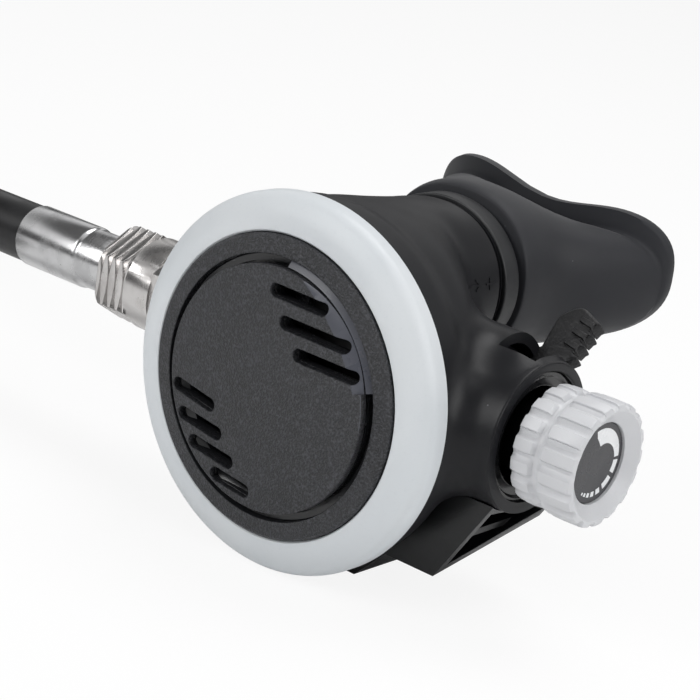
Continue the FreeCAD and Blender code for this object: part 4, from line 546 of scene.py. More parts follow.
def light_sky():
    """White for the camera, dim for the rest, and bands of light and dark for reflections."""
    world = bpy.data.worlds.new("studio")
    bpy.context.scene.world = world
    world.use_nodes = True
    nodes = world.node_tree.nodes
    back = nodes["Background"]
    back.inputs["Color"].default_value = (1, 1, 1, 1)
    paths = nodes.new("ShaderNodeLightPath")
    level = nodes.new("ShaderNodeMapRange")
    level.inputs["To Min"].default_value = SKY_LEVEL
    level.inputs["To Max"].default_value = 1.0
    way = nodes.new("ShaderNodeTexCoord")
    parts = nodes.new("ShaderNodeSeparateXYZ")
    height = nodes.new("ShaderNodeMapRange")
    height.inputs["From Min"].default_value = -1.0
    band = nodes.new("ShaderNodeValToRGB")
    stops = band.color_ramp
    stops.interpolation = "EASE"
    while len(stops.elements) < len(REFLECTED_LEVELS):
        stops.elements.new(0.5)
    for element, (place, share) in zip(stops.elements, REFLECTED_LEVELS):
        element.position = place
        element.color = (share, share, share, 1)
    mix = nodes.new("ShaderNodeMix")
    pairs = [
        (paths.outputs["Is Camera Ray"], level.inputs["Value"]),
        (way.outputs["Generated"], parts.inputs[0]),
        (parts.outputs["Z"], height.inputs["Value"]),
        (height.outputs[0], band.inputs[0]),
        (paths.outputs["Is Glossy Ray"], mix.inputs["Factor"]),
        (level.outputs[0], mix.inputs["A"]),
        (band.outputs[0], mix.inputs["B"]),
        (mix.outputs[0], back.inputs["Strength"]),
    ]
    wire(world.node_tree, pairs)


def light_studio():
    bpy.context.scene.view_settings.view_transform = "Standard"
    light_sky()
    for name, place, size, power in SOFT_BOXES:
        soft_box(name, place, size, power)


def lay_floor():
    """White floor that glows for the camera and keeps a faint shadow."""
    bpy.ops.mesh.primitive_grid_add(size=FLOOR_SIZE, x_subdivisions=2, y_subdivisions=2)
    floor = bpy.context.object
    floor.name = "studio_floor"
    material = bpy.data.materials.new("studio_white")
    material.use_nodes = True
    nodes = material.node_tree.nodes
    shader = nodes["Principled BSDF"]
    shader.inputs["Base Color"].default_value = tint(246, 246, 246)
    shader.inputs["Roughness"].default_value = 0.9
    glow = nodes.new("ShaderNodeEmission")
    mix = nodes.new("ShaderNodeMixShader")
    paths = nodes.new("ShaderNodeLightPath")
    share = nodes.new("ShaderNodeMath")
    share.operation = "MULTIPLY"
    share.inputs[1].default_value = FLOOR_GLOW
    pairs = [
        (paths.outputs["Is Camera Ray"], share.inputs[0]),
        (share.outputs[0], mix.inputs[0]),
        (shader.outputs[0], mix.inputs[1]),
        (glow.outputs[0], mix.inputs[2]),
        (mix.outputs[0], nodes["Material Output"].inputs["Surface"]),
    ]
    wire(material.node_tree, pairs)
    floor.data.materials.append(material)


# ---------------- hose

# The coil turns about COIL_MIDDLE, in degrees from +X: it leaves its top height at
# COIL_DROP and lies on the floor from COIL_FLOOR on.
FERRULE_END = (-88, 0, 35.8)
HOSE_ROUTE = [
    (-109.8, 0, 35.8),
    (-131.2, 6.4, 33.2),
    (-148.8, 18.9, 27.3),
    (-163.3, 35.4, 22.5),
    (-182.2, 45.8, 19.3),
]
COIL_MIDDLE = (-215.65, -10)
COIL_RADIUS = 62
COIL_TOP_Z = 19.3
COIL_START = 76.7
COIL_DROP = 262
COIL_FLOOR = 380
COIL_END = 560
COIL_STEP = 25


def coil_points():
    """Control points round the coil, just outside its line, so that the spline follows it."""

    def spot(radius, degrees, z):
        x, y = polar(radius, math.radians(degrees))
        return (COIL_MIDDLE[0] + x, COIL_MIDDLE[1] + y, z)

    points = []
    wide = COIL_RADIUS / (0.5 + 0.5 * math.cos(math.radians(COIL_STEP)))
    steps = round((COIL_END - COIL_START) / COIL_STEP)
    for step in range(steps):
        angle = COIL_START + (COIL_END - COIL_START) * (step + 0.5) / steps
        t = min(max((angle - COIL_DROP) / (COIL_FLOOR - COIL_DROP), 0), 1)
        z = COIL_TOP_Z + (HOSE_RADIUS - COIL_TOP_Z) * t * t * (3 - 2 * t)
        points.append(spot(wide, angle, z))
    points.append(spot(COIL_RADIUS, COIL_END, HOSE_RADIUS))
    return points


def run_hose():
    """The hose, from its ferrule along the route and round the coil to the far end."""
    curve = bpy.data.curves.new("hose", "CURVE")
    curve.dimensions = "3D"
    spline = curve.splines.new("NURBS")
    points = [FERRULE_END, *HOSE_ROUTE, *coil_points()]
    spline.points.add(len(points) - 1)
    for point, place in zip(spline.points, points):
        point.co = (place[0] * MM, place[1] * MM, place[2] * MM, 1)
    spline.order_u = 3
    spline.use_endpoint_u = True
    spline.resolution_u = 10
    curve.bevel_depth = HOSE_RADIUS * MM
    curve.bevel_resolution = 12
    curve.use_fill_caps = True
    hose = bpy.data.objects.new("hose", curve)
    bpy.context.collection.objects.link(hose)
    curve.materials.append(HOSE_BLACK)
    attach(hose, "regulator")
    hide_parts("hose_tube", "hose_coil")


# ---------------- shape helpers


def joined(*shapes):
    """One bmesh out of several."""
    whole = shapes[0]
    for shape in shapes[1:]:
        mesh = bpy.data.meshes.new("part")
        shape.to_mesh(mesh)
        shape.free()
        whole.from_mesh(mesh)
        bpy.data.meshes.remove(mesh)
    return whole


def painted(shape, index):
    """The bmesh with every face given one of the piece's finishes."""
    for face in shape.faces:
        face.material_index = index
    return shape


def ring_skin(rings, closed=False):
    """Skin over rings of equal length; closed joins the last ring to the first."""
    shape = bmesh.new()
    rows = [[shape.verts.new(point) for point in ring] for ring in rings]
    count = len(rows[0])
    last = len(rows) if closed else len(rows) - 1
    for k in range(last):
        here, there = rows[k], rows[(k + 1) % len(rows)]
        for i in range(count):
            n = (i + 1) % count
            shape.faces.new((here[i], here[n], there[n], there[i]))
    if not closed:
        shape.faces.new(rows[0][::-1])
        shape.faces.new(rows[-1])
    bmesh.ops.recalc_face_normals(shape, faces=shape.faces)
    return shape


def oval(half, tall, middle, power=2.0, count=96):
    """Points (x, z) round an oval that a power above 2 makes squarer."""
    points = []
    for k in range(count):
        angle = 2 * math.pi * k / count
        c, s = math.cos(angle), math.sin(angle)
        x = half * math.copysign(abs(c) ** (2 / power), c)
        z = tall * math.copysign(abs(s) ** (2 / power), s)
        points.append((x, middle + z))
    return points


def oval_band(profile, half, tall, middle, count=160):
    """A closed profile of (outwards, y) points run round an oval about the mouth's axis."""
    rings = []
    for k in range(count):
        angle = 2 * math.pi * k / count
        x, z = half * math.cos(angle), tall * math.sin(angle)
        out = Vector((math.cos(angle) / half, math.sin(angle) / tall)).normalized()
        rings.append([(x + out.x * away, y, middle + z + out.y * away) for away, y in profile])
    return ring_skin(rings, closed=True)


def smooth_between(rows, steps):
    """Rows of numbers with steps Catmull-Rom rows put between each pair."""

    def curved(p, q, r, u, t):
        slope = (r - p) * t
        bend = (2 * p - 5 * q + 4 * r - u) * t * t
        return 0.5 * (2 * q + slope + bend + (3 * q - p - 3 * r + u) * t**3)

    out = []
    for k in range(len(rows) - 1):
        a = rows[max(k - 1, 0)]
        b, c = rows[k], rows[k + 1]
        d = rows[min(k + 2, len(rows) - 1)]
        for step in range(steps):
            t = step / steps
            out.append(tuple(curved(*four, t) for four in zip(a, b, c, d)))
    out.append(rows[-1])
    return out


def as_object(name, shape):
    """An object that holds a bmesh; the bmesh goes."""
    mesh = bpy.data.meshes.new(name)
    shape.to_mesh(mesh)
    shape.free()
    obj = bpy.data.objects.new(name, mesh)
    bpy.context.collection.objects.link(obj)
    return obj


def with_modifiers(obj, *modifiers):
    """A new bmesh of the object with modifiers of the given kinds and settings; the object goes."""
    for kind, settings in modifiers:
        modifier = obj.modifiers.new(kind, kind)
        for key, value in settings.items():
            setattr(modifier, key, value)
    mesh = evaluated_mesh(obj)
    shape = bmesh.new()
    shape.from_mesh(mesh)
    bpy.data.meshes.remove(mesh)
    return shape


def cut_away(shape, *cutters):
    """The bmesh with each cutter's solid taken out."""
    for cutter in cutters:
        tool = as_object("cutter", cutter)
        settings = {"operation": "DIFFERENCE", "object": tool, "solver": "EXACT"}
        shape = with_modifiers(as_object("cut", shape), ("BOOLEAN", settings))
        bpy.data.objects.remove(tool)
    return shape


def tube(inner, outer, start, end):
    """Outline of a tube, or of a rod where inner is 0."""
    return [(inner, start), (outer, start), (outer, end), (inner, end)]


def block(low, high):
    """A box between two corners."""
    shape = bmesh.new()
    bmesh.ops.create_cube(shape, size=1)
    for vert in shape.verts:
        vert.co = [low[k] if vert.co[k] < 0 else high[k] for k in range(3)]
    return shape


def repeat_round(segment, count, centre, finish):
    """Copies of a segment round an X axis through centre, made by a Geometry Nodes tree."""
    source = as_object("segment", segment)
    tree = bpy.data.node_groups.new("repeat round", "GeometryNodeTree")
    for socket, way, kind in (
        ("Geometry", "INPUT", "Geometry"),
        ("Segment", "INPUT", "Object"),
        ("Count", "INPUT", "Int"),
        ("Centre", "INPUT", "Vector"),
        ("Finish", "INPUT", "Material"),
        ("Geometry", "OUTPUT", "Geometry"),
    ):
        tree.interface.new_socket(socket, in_out=way, socket_type="NodeSocket" + kind)

    node = tree.nodes.new
    start, end = node("NodeGroupInput"), node("NodeGroupOutput")
    points = node("GeometryNodePoints")
    spread = node("GeometryNodeInstanceOnPoints")
    info = node("GeometryNodeObjectInfo")
    number = node("GeometryNodeInputIndex")
    share, angle = node("ShaderNodeMath"), node("ShaderNodeMath")
    share.operation, angle.operation = "DIVIDE", "MULTIPLY"
    way = node("ShaderNodeCombineXYZ")
    solid = node("GeometryNodeRealizeInstances")
    weld = node("GeometryNodeMergeByDistance")
    paint = node("GeometryNodeSetMaterial")
    angle.inputs[1].default_value = 2 * math.pi
    weld.inputs["Distance"].default_value = 0.004
    pairs = [
        (start.outputs["Count"], points.inputs["Count"]),
        (start.outputs["Centre"], points.inputs["Position"]),
        (start.outputs["Segment"], info.inputs["Object"]),
        (number.outputs[0], share.inputs[0]),
        (start.outputs["Count"], share.inputs[1]),
        (share.outputs[0], angle.inputs[0]),
        (angle.outputs[0], way.inputs["X"]),
        (points.outputs[0], spread.inputs["Points"]),
        (info.outputs["Geometry"], spread.inputs["Instance"]),
        (way.outputs[0], spread.inputs["Rotation"]),
        (spread.outputs[0], solid.inputs[0]),
        (solid.outputs[0], weld.inputs[0]),
        (weld.outputs[0], paint.inputs["Geometry"]),
        (start.outputs["Finish"], paint.inputs["Material"]),
        (paint.outputs[0], end.inputs[0]),
    ]
    wire(tree, pairs)
    holder = as_object("repeated", bmesh.new())
    modifier = holder.modifiers.new("repeat", "NODES")
    modifier.node_group = tree
    values = {"Segment": source, "Count": count, "Centre": centre, "Finish": finish}
    for item in tree.interface.items_tree:
        if item.name in values:
            modifier[item.identifier] = values[item.name]
    holder.update_tag()
    shape = with_modifiers(holder)
    bpy.data.objects.remove(source)
    bmesh.ops.recalc_face_normals(shape, faces=shape.faces)
    return shape


# ---------------- cover


def make_ring():
    """Plain outer ring with a bowed face and flank."""
    crest = (RING_RADIUS - 1.7, 1.4)
    face = bowed((RING_INNER_RADIUS + 0.35, -0.02), crest, -0.42)
    flank = bowed(crest, (RING_RADIUS, 3.9), -0.42, 8)[1:]
    profile = [
        (RING_INNER_RADIUS, 0.35),
        *face,
        *flank,
        (RING_RADIUS, 5.9),
        (RING_RADIUS - 0.3, 6.2),
        (32.7, 6.2),
        (32.7, 2.3),
        (RING_INNER_RADIUS, 2.3),
    ]
    shape = about_cover(profile, RING_EDGE_Y, 240)
    piece("cover_ring", shape, RING_SATIN, "regulator", ["front_ring"])


def sector(shape):
    """What lies between the ramp's two ends, seen from the cover's axis."""
    middle = Vector((0, COVER_FACE_Y, RING_Z))
    for angle, sense in ((RAMP_START, 1), (RAMP_END, -1)):
        turn = math.radians(angle)
        way = Vector((-math.sin(turn), 0, math.cos(turn))) * sense
        parts = shape.verts[:] + shape.edges[:] + shape.faces[:]
        cut = bmesh.ops.bisect_plane(
            shape, geom=parts, plane_co=middle, plane_no=way, clear_inner=True
        )
        rim = [part for part in cut["geom_cut"] if isinstance(part, bmesh.types.BMEdge)]
        bmesh.ops.holes_fill(shape, edges=rim)
    bmesh.ops.recalc_face_normals(shape, faces=shape.faces)
    return shape


def make_rim():
    """Cover rim: textured band, glossy groove, and the arms and hub behind the button."""
    floor, shelf, back = 1.6, 4.9 + COVER_RISE, 6.6 + COVER_RISE
    profile = soften(
        [
            (GROOVE_INNER_RADIUS, floor),
            (GROOVE_RADIUS, floor, 0.25),
            (GROOVE_RADIUS, -0.25, 0.25),
            (27.3, 0.1, 0.35),
            (27.83, 0.65),
            (27.83, 2.4 + COVER_RISE),
            (SEAT_RADIUS, 2.4 + COVER_RISE),
            (SEAT_RADIUS, shelf),
            (25.4, shelf),
            (25.4, back),
            (GROOVE_RADIUS, back),
            (GROOVE_RADIUS, 2.7),
            (GROOVE_INNER_RADIUS, 2.7),
        ]
    )

    def groove(first, second):
        return int(max(first[0], second[0]) < GROOVE_RADIUS + 0.1 and max(first[1], second[1]) < 2)

    shape = about_cover(profile, COVER_FACE_Y, 240, groove)
    back_y = COVER_FACE_Y + back
    hub = about_cover(tube(2.15, 4.4, 0, -1.6), back_y, 48)
    half = 1.6
    arms = []
    for sense in (1, -1):
        reach = sorted((3.6 * sense, 24.8 * sense))
        for spread_x, spread_z in ((reach, (-half, half)), ((-half, half), reach)):
            low = (spread_x[0], back_y - half, RING_Z + spread_z[0])
            arms.append(block(low, (spread_x[1], back_y, RING_Z + spread_z[1])))
    slope = soften(
        [
            (GROOVE_INNER_RADIUS, 1.05 - PANEL_RISE),
            (24.1, 0.6, 0.4),
            (24.1, 1.7),
            (GROOVE_INNER_RADIUS, 1.7),
        ]
    )
    ramp = sector(about_cover(slope, COVER_FACE_Y, 240))
    whole = joined(shape, hub, *arms, painted(ramp, 2))
    finishes = [COVER_GRAIN, GROOVE_GLOSS, RAMP_GLOSS]
    piece("cover_rim", whole, finishes, "regulator", ["purge_cover"])


def slot_outline(outer, inner, half=SLOT_HALF, steps=10):
    """A round-ended slot between two points, half wide on each side."""
    outer, inner = Vector(outer), Vector(inner)
    way = (outer - inner).normalized()
    side = Vector((-way.y, way.x))
    points = []
    for centre, sense in ((outer, 1), (inner, -1)):
        for step in range(steps + 1):
            angle = math.pi * step / steps
            aside = side * (-sense * half * math.cos(angle))
            points.append(tuple(centre + aside + way * (sense * half * math.sin(angle))))
    return points


def slot_line(height, slope, inner_x, side):
    """Ends of a slot: the outer one on the circle of SLOT_REACH, the inner one at inner_x."""
    rise = math.tan(math.radians(slope))
    outer_x = inner_x
    while math.hypot(outer_x, height + rise * (outer_x - inner_x)) < SLOT_REACH:
        outer_x += 0.02 * side
    return (outer_x, height + rise * (outer_x - inner_x)), (inner_x, height)


def button_slots():
    # height, slope in degrees, x of the inner end
    upper = [(18.4, -1.5, -0.4), (13.3, -0.8, 2.7), (8.5, -0.3, 6.8)]
    lower = [(-7.0, -10, -12.1), (-11.7, -7.5, -9.5), (-16.0, -7, -5.9), (-19.9, -6, -1.2)]
    return [slot_line(*line, 1) for line in upper] + [slot_line(*line, -1) for line in lower]


def scoop():
    """Cutter for the glossy crescent: a cone about an axis beside the cover's own."""
    face = -PANEL_RISE
    near, far = SCOOP_RADIUS - 2, SCOOP_RADIUS + 6
    outline = [(near, face - 0.9), (far, face - 0.9), (far, face + 2.7)]
    middle = Vector((0, COVER_FACE_Y, RING_Z))
    return sector(lathe(outline, ALONG_Y, middle + Vector(SCOOP_SHIFT), 360))


def make_button():
    """Purge button: textured panel with a glossy scoop, shelf, skirt and stem."""
    thick = 1.5
    place = facing_front(COVER_FACE_Y - PANEL_RISE + thick / 2)
    slots = [slot_outline(outer, inner) for outer, inner in button_slots()]
    panel = plate(ring_of_points(PANEL_RADIUS, 240), slots, thick, 0.22, place)
    panel = cut_away(panel, scoop())
    aside = Vector((0, COVER_FACE_Y, RING_Z)) + Vector(SCOOP_SHIFT)
    for face in panel.faces:
        out = face.calc_center_median() - aside
        sloped = 0.8 < -face.normal.y < 0.97
        face.material_index = 2 if sloped and math.hypot(out.x, out.z) > SCOOP_RADIUS else 0
    wide = [slot_outline(outer, inner, SLOT_HALF + 0.05) for outer, inner in button_slots()]
    place = facing_front(COVER_FACE_Y - PANEL_RISE + 2.65)
    shelf = plate(ring_of_points(22.1, 200), wide, 2.2, 0.15, place)
    rest, flange = 3.0 - PANEL_RISE, 3.8
    outline = [
        (20.9, rest),
        (22.35, rest - 1.2),
        (22.35, 3.0),
        (23.5, 3.0),
        (23.5, flange),
        (20.9, flange),
    ]
    skirt = about_cover(outline, COVER_FACE_Y, 160)
    stem = about_cover(tube(0, 2, rest - 1, 7.5), COVER_FACE_Y, 32)
    whole = joined(panel, *(painted(part, 1) for part in (shelf, skirt, stem)))
    finishes = [COVER_GRAIN, GROOVE_GLOSS, RAMP_GLOSS]
    piece("button_panel", whole, finishes, "button", ["purge_button"], sharp=30)


# ---------------- knob


def knob_segment():
    """One of the knob's pads with the flute and the notch beside it."""
    # x, radius and how far the flute cuts in there
    rows = [
        (50.6, 4.8, 0), (46.0, 4.8, 0), (46.0, 3.1, 0), (52.9, 3.1, 0), (52.9, 7.5, 0),
        (55.3, 7.52, 0), (55.45, 7.65, 0), (56.75, 9.65, 0), (57.0, 9.95, 0.05),
        (57.0, 10.55, 0.35), (56.75, 11.1, 0.75), (56.2, 11.35, 0.8), (53.0, 11.4, 0.8),
        (50.9, 11.35, 0.8), (50.2, 11.2, 0.75), (49.75, 10.7, 0.5), (49.4, 10.15, 0.15),
        (48.9, 9.95, 0), (48.45, 10.1, 0.1), (48.15, 10.5, 0.45), (47.8, 10.85, 0.7),
        (46.6, 11.0, 0.75), (45.0, 10.95, 0.75), (44.3, 10.8, 0.7), (44.0, 10.4, 0.5),
        (44.0, 9.0, 0), (50.6, 9.0, 0),
    ]
    # share of the way across the segment and how much of each cut is taken there
    steps = [
        (0, 0.55), (0.02, 0.08), (0.05, 0), (0.3, 0), (0.54, 0), (0.57, 0.18),
        (0.66, 0.75), (0.78, 1.0), (0.9, 0.78), (0.97, 0.42), (0.985, 0.5), (1.0, 0.55),
    ]
    shape = bmesh.new()
    lines = []
    for share, dip in steps:
        angle = share * 2 * math.pi / GRIP_COUNT
        line = []
        for x, radius, cut in rows:
            away = radius - cut * dip
            line.append(shape.verts.new((x, away * math.sin(angle), away * math.cos(angle))))
        lines.append(line)
    for here, there in zip(lines, lines[1:]):
        for k in range(len(rows)):
            n = (k + 1) % len(rows)
            shape.faces.new((here[k], here[n], there[n], there[k]))
    return shape


def make_knob():
    """Ribbed knob, one segment repeated round the barrel's axis."""
    shape = repeat_round(knob_segment(), GRIP_COUNT, (0, 0, BARREL_Z), KNOB_SATIN)
    piece("knob_grips", shape, KNOB_SATIN, "knob", ["adjustment_knob"], sharp=28)


def arc_patch(start, end, inner, steps=24):
    """Outline over an arc, from PRINT_RADIUS in to a radius that inner gives for a share of it."""

    def spot(radius, t):
        return polar(radius, math.radians(start + (end - start) * t))

    out = [spot(PRINT_RADIUS, step / steps) for step in range(steps + 1)]
    back = [1 - step / steps for step in range(steps + 1)]
    return out + [spot(inner(t), t) for t in back]


def make_dial():
    """Dial with a crescent that runs on in bars, which grow small."""
    edge = DIAL_FACE_X - 0.15
    outline = [(0, 53.4), (7.42, 53.4), (7.42, edge), (7.25, DIAL_FACE_X), (0, DIAL_FACE_X)]
    disc = about_barrel(outline)

    def crescent(t):
        return PRINT_RADIUS - 1.3 - 2.4 * min(t * 7, 1) * (1 - t) ** 1.2

    prints = [arc_patch(108, 2, crescent)]
    # degrees of a bar, degrees of the gap after it, width
    bars = [
        (24, 8, 1.3),
        (24, 8, 1.2),
        (11, 6, 1.05),
        (9, 5, 0.95),
        (7, 4.5, 0.8),
        (5.5, 4, 0.65),
        (4, 4, 0.5),
    ]
    angle = -4.0
    for size, gap, wide in bars:
        prints.append(arc_patch(angle, angle - size, lambda t: PRINT_RADIUS - wide, 6))
        angle -= size + gap
    place = facing_right(DIAL_FACE_X) @ Matrix.Translation((0, 0, 0.012))
    marks = [painted(plate(points, [], 0.04, 0.005, place), 1) for points in prints]
    finishes = [DIAL_GLOSS, DIAL_PRINT]
    piece("dial_face", joined(disc, *marks), finishes, "knob", ["knob_dial"])


# ---------------- venturi lever


def make_venturi():
    """Collar with the finger lever, whose outer edge has steps for a finger."""
    collar = about_barrel(soften([(9.0, 32), (12.4, 32, 0.3), (12.4, 36.6, 0.3), (9.0, 36.6)]), 120)
    # x, distance from the barrel's axis, rounding
    edge = [
        (32.3, 10.5),
        (32.3, 15.6, 0.3),
        (33.0, 16.2, 0.3),
        (32.6, 23.0, 2.4),
        (35.6, 26.6, 2.6),
        (39.0, 25.0, 0.8),
    ]
    for k in range(LEVER_STEPS):
        top = 24.4 - 2.5 * k
        edge.append((41.2 - 0.15 * k, top - 0.35, 0.25))
        edge.append((39.6 - 0.15 * k, top - 2.2, 0.25))
    edge.extend([(39.6, 12.6), (39.6, 10.5)])
    angle = math.radians(LEVER_ANGLE)
    away = Vector((0, math.cos(angle), math.sin(angle)))
    across = Vector((0, -math.sin(angle), math.cos(angle)))
    place = Matrix(
        (
            (1, away.x, across.x, 0),
            (0, away.y, across.y, 0),
            (0, away.z, across.z, BARREL_Z),
            (0, 0, 0, 1),
        )
    )
    blade = plate(soften(edge), [], 3.2, 0.5, place)
    ribs = []
    for k in range(LEVER_STEPS - 1):
        top = 23.8 - 2.5 * k
        near, far = 37.3 - 0.2 * k, 40.3 - 0.15 * k
        points = [
            (near, top + 0.35),
            (far, top - 0.1),
            (far - 0.3, top - 1.3),
            (near - 0.1, top - 0.75),
        ]
        ribs.append(plate(points, [], 4.1, 0.25, place))
    whole = joined(collar, blade, *ribs)
    piece("venturi_grip", whole, LEVER_GRAIN, "venturi", ["venturi_lever"])


# ---------------- case


def case_body():
    """Closed oval that runs from the drum to the mouth tube."""
    # y, half width, top, base, squareness
    sections = [
        (-15.0, 32.6, 67.6, 3.0, 2.0),
        (-9.0, 32.6, 67.8, 6.0, 2.05),
        (-3.0, 30.6, 67.6, 10.0, 2.1),
        (3.0, 24.0, 67.1, 16.0, 2.15),
        (8.5, 17.2, 66.9, 24.5, 2.15),
        (13.0, 16.3, 66.6, 31.5, 2.15),
        (18.3, 16.4, 66.0, 36.4, 2.15),
        (24.6, 16.2, 65.8, 36.8, 2.15),
    ]
    rings = []
    for y, half, top, base, power in smooth_between(sections, 5):
        rings.append([(x, y, z) for x, z in oval(half, (top - base) / 2, (top + base) / 2, power)])
    return ring_skin(rings)


def remeshed(shape):
    settings = {"mode": "VOXEL", "voxel_size": CASE_VOXEL, "adaptivity": 0.0}
    return with_modifiers(as_object("case", shape), ("REMESH", settings))


def grown(shape, amount):
    """The bmesh moved out along its normals and remeshed."""
    shape.normal_update()
    moves = [(vert, vert.normal.copy()) for vert in shape.verts]
    for vert, normal in moves:
        vert.co += normal * amount
    return remeshed(shape)


def case_skin():
    """Outside of the case: drum, oval, bosses and port, with rounded joins."""
    outline = [(0, -26.5), (34, -26.5), (34, -11.2), (33.2, -9.2), (31.5, -8), (0, -8)]
    drum = about_cover(outline, 0)
    boss = about_barrel(tube(0, 14, 0, 45))
    inlet = about_barrel(tube(0, 11.5, -40, 0))
    port = stand_up(lathe(tube(0, 12.6, 5, 23), ALONG_Y, (0, 0, 0), 96), PORT_Y)
    hood = about_barrel(tube(0, 15.6, 20, 38.5), 64)
    for vert in hood.verts:
        low = vert.co.z < BARREL_Z
        vert.co.y = vert.co.y * 0.8 + 1.5
        vert.co.z = BARREL_Z + (vert.co.z - BARREL_Z) * (0.7 if low else 1.06)
    shape = remeshed(joined(drum, case_body(), boss, inlet, port, hood))
    # growing and shrinking again leaves a fillet in every inner corner
    shape = grown(grown(shape, CASE_FILLET), -CASE_FILLET)
    settings = {"factor": 0.5, "iterations": 6}
    return with_modifiers(as_object("case", shape), ("SMOOTH", settings))


def open_beyond(shape, point, normal):
    """Take away what lies beyond a plane and leave it open."""
    parts = shape.verts[:] + shape.edges[:] + shape.faces[:]
    bmesh.ops.bisect_plane(shape, geom=parts, plane_co=point, plane_no=normal, clear_outer=True)


def case_marks(skin):
    """Arrow and plus sign standing a little proud of the flank, thrown on to it along X."""
    surface = BVHTree.FromBMesh(skin)
    half, rise, root, steps = 0.16, 0.16, -0.3, 8
    # y and z of each stroke's two ends
    strokes = [
        ((8.4, 54.4), (13.0, 54.4)),
        ((13.0, 54.4), (11.7, 55.4)),
        ((13.0, 54.4), (11.7, 53.4)),
        ((14.6, 54.4), (16.8, 54.4)),
        ((15.7, 55.5), (15.7, 53.3)),
    ]
    marks = []
    for start, end in strokes:
        start, end = Vector(start), Vector(end)
        way = (end - start).normalized()
        side = Vector((-way.y, way.x)) * half
        rings = []
        for step in range(steps + 1):
            spot = start.lerp(end, step / steps)
            ring = []
            for sense, lift in ((1, root), (1, rise), (-1, rise), (-1, root)):
                at = spot + side * sense
                hit, normal, _, _ = surface.ray_cast(Vector((60, at.x, at.y)), Vector((-1, 0, 0)))
                ring.append(hit + normal * lift)
            rings.append(ring)
        marks.append(ring_skin(rings))
    return joined(*marks)


def make_case():
    """Hollow case, open at its ends, with a window for the lever and its inner fittings."""
    shape = case_skin()
    # nose, mouth, knob side, hose side and port
    for point, way in (
        ((0, -17.25, 0), (0, -1, 0)),
        ((0, 18.4, 0), (0, 1, 0)),
        ((42, 0, 0), (1, 0, 0)),
        ((-37, 0, 0), (-1, 0, 0)),
        ((0, 0, 8.6), (0, 0, -1)),
    ):
        open_beyond(shape, point, way)
    wall = {"thickness": 2.0, "offset": -1.0}
    shape = with_modifiers(as_object("case", shape), ("SOLIDIFY", wall))
    window = [polar(18, math.radians(angle)) for angle in range(34, 113, 4)]
    window.extend([(0.5, 11.8), (8.6, 6.4)])
    shape = cut_away(shape, plate(window, [], 7.4, 0.05, facing_right(36.7)))
    outline = [(30.98, 2.4), (32.6, 2.4), (32.6, 6.2), (33.8, 6.2), (33.8, 9), (30.98, 9)]
    nose = about_cover(outline, RING_EDGE_Y)
    outline = [(12.2, 40.6), (14.1, 40.6), (14.1, 42, 0.45), (12.2, 42, 0.45)]
    lip = about_barrel(soften(outline), 120)
    wall = about_barrel(tube(8.5, 13.4, 28, 30))
    inlet = about_barrel(tube(8.95, 10.9, -37, -28))
    outline = [
        (9.2, 37),
        (12.3, 37),
        (12.3, 41.3, 0.5),
        (11.4, 41.3, 0.5),
        (10.9, 40.9, 0.4),
        (9.2, 40.9, 0.4),
    ]
    collar = about_barrel(soften(outline), 120)
    spigot = oval_band([(-3, 16.5), (-3, 31.1), (-4.5, 31.1), (-4.5, 16.5)], 16, 14.4, 51.2)
    outline = soften([(-3.2, 17.2), (-0.6, 17.2), (-0.6, 18.2, 0.3), (-3.2, 18.2)])
    shoulder = oval_band(outline, 16.2, 14.6, 51.2)
    marks = case_marks(shape)
    whole = joined(shape, nose, lip, wall, inlet, spigot, shoulder, marks)
    whole = joined(painted(whole, 0), painted(collar, 1))
    finishes = [CASE_BLACK, COLLAR_GLOSS]
    piece("case_shell", whole, finishes, "regulator", ["case"], sharp=40)


# ---------------- mouthpiece


def shield_depth(x):
    """How far the shield sweeps back at x."""
    return SHIELD_SWEEP * (x / SHIELD_HALF) ** 2


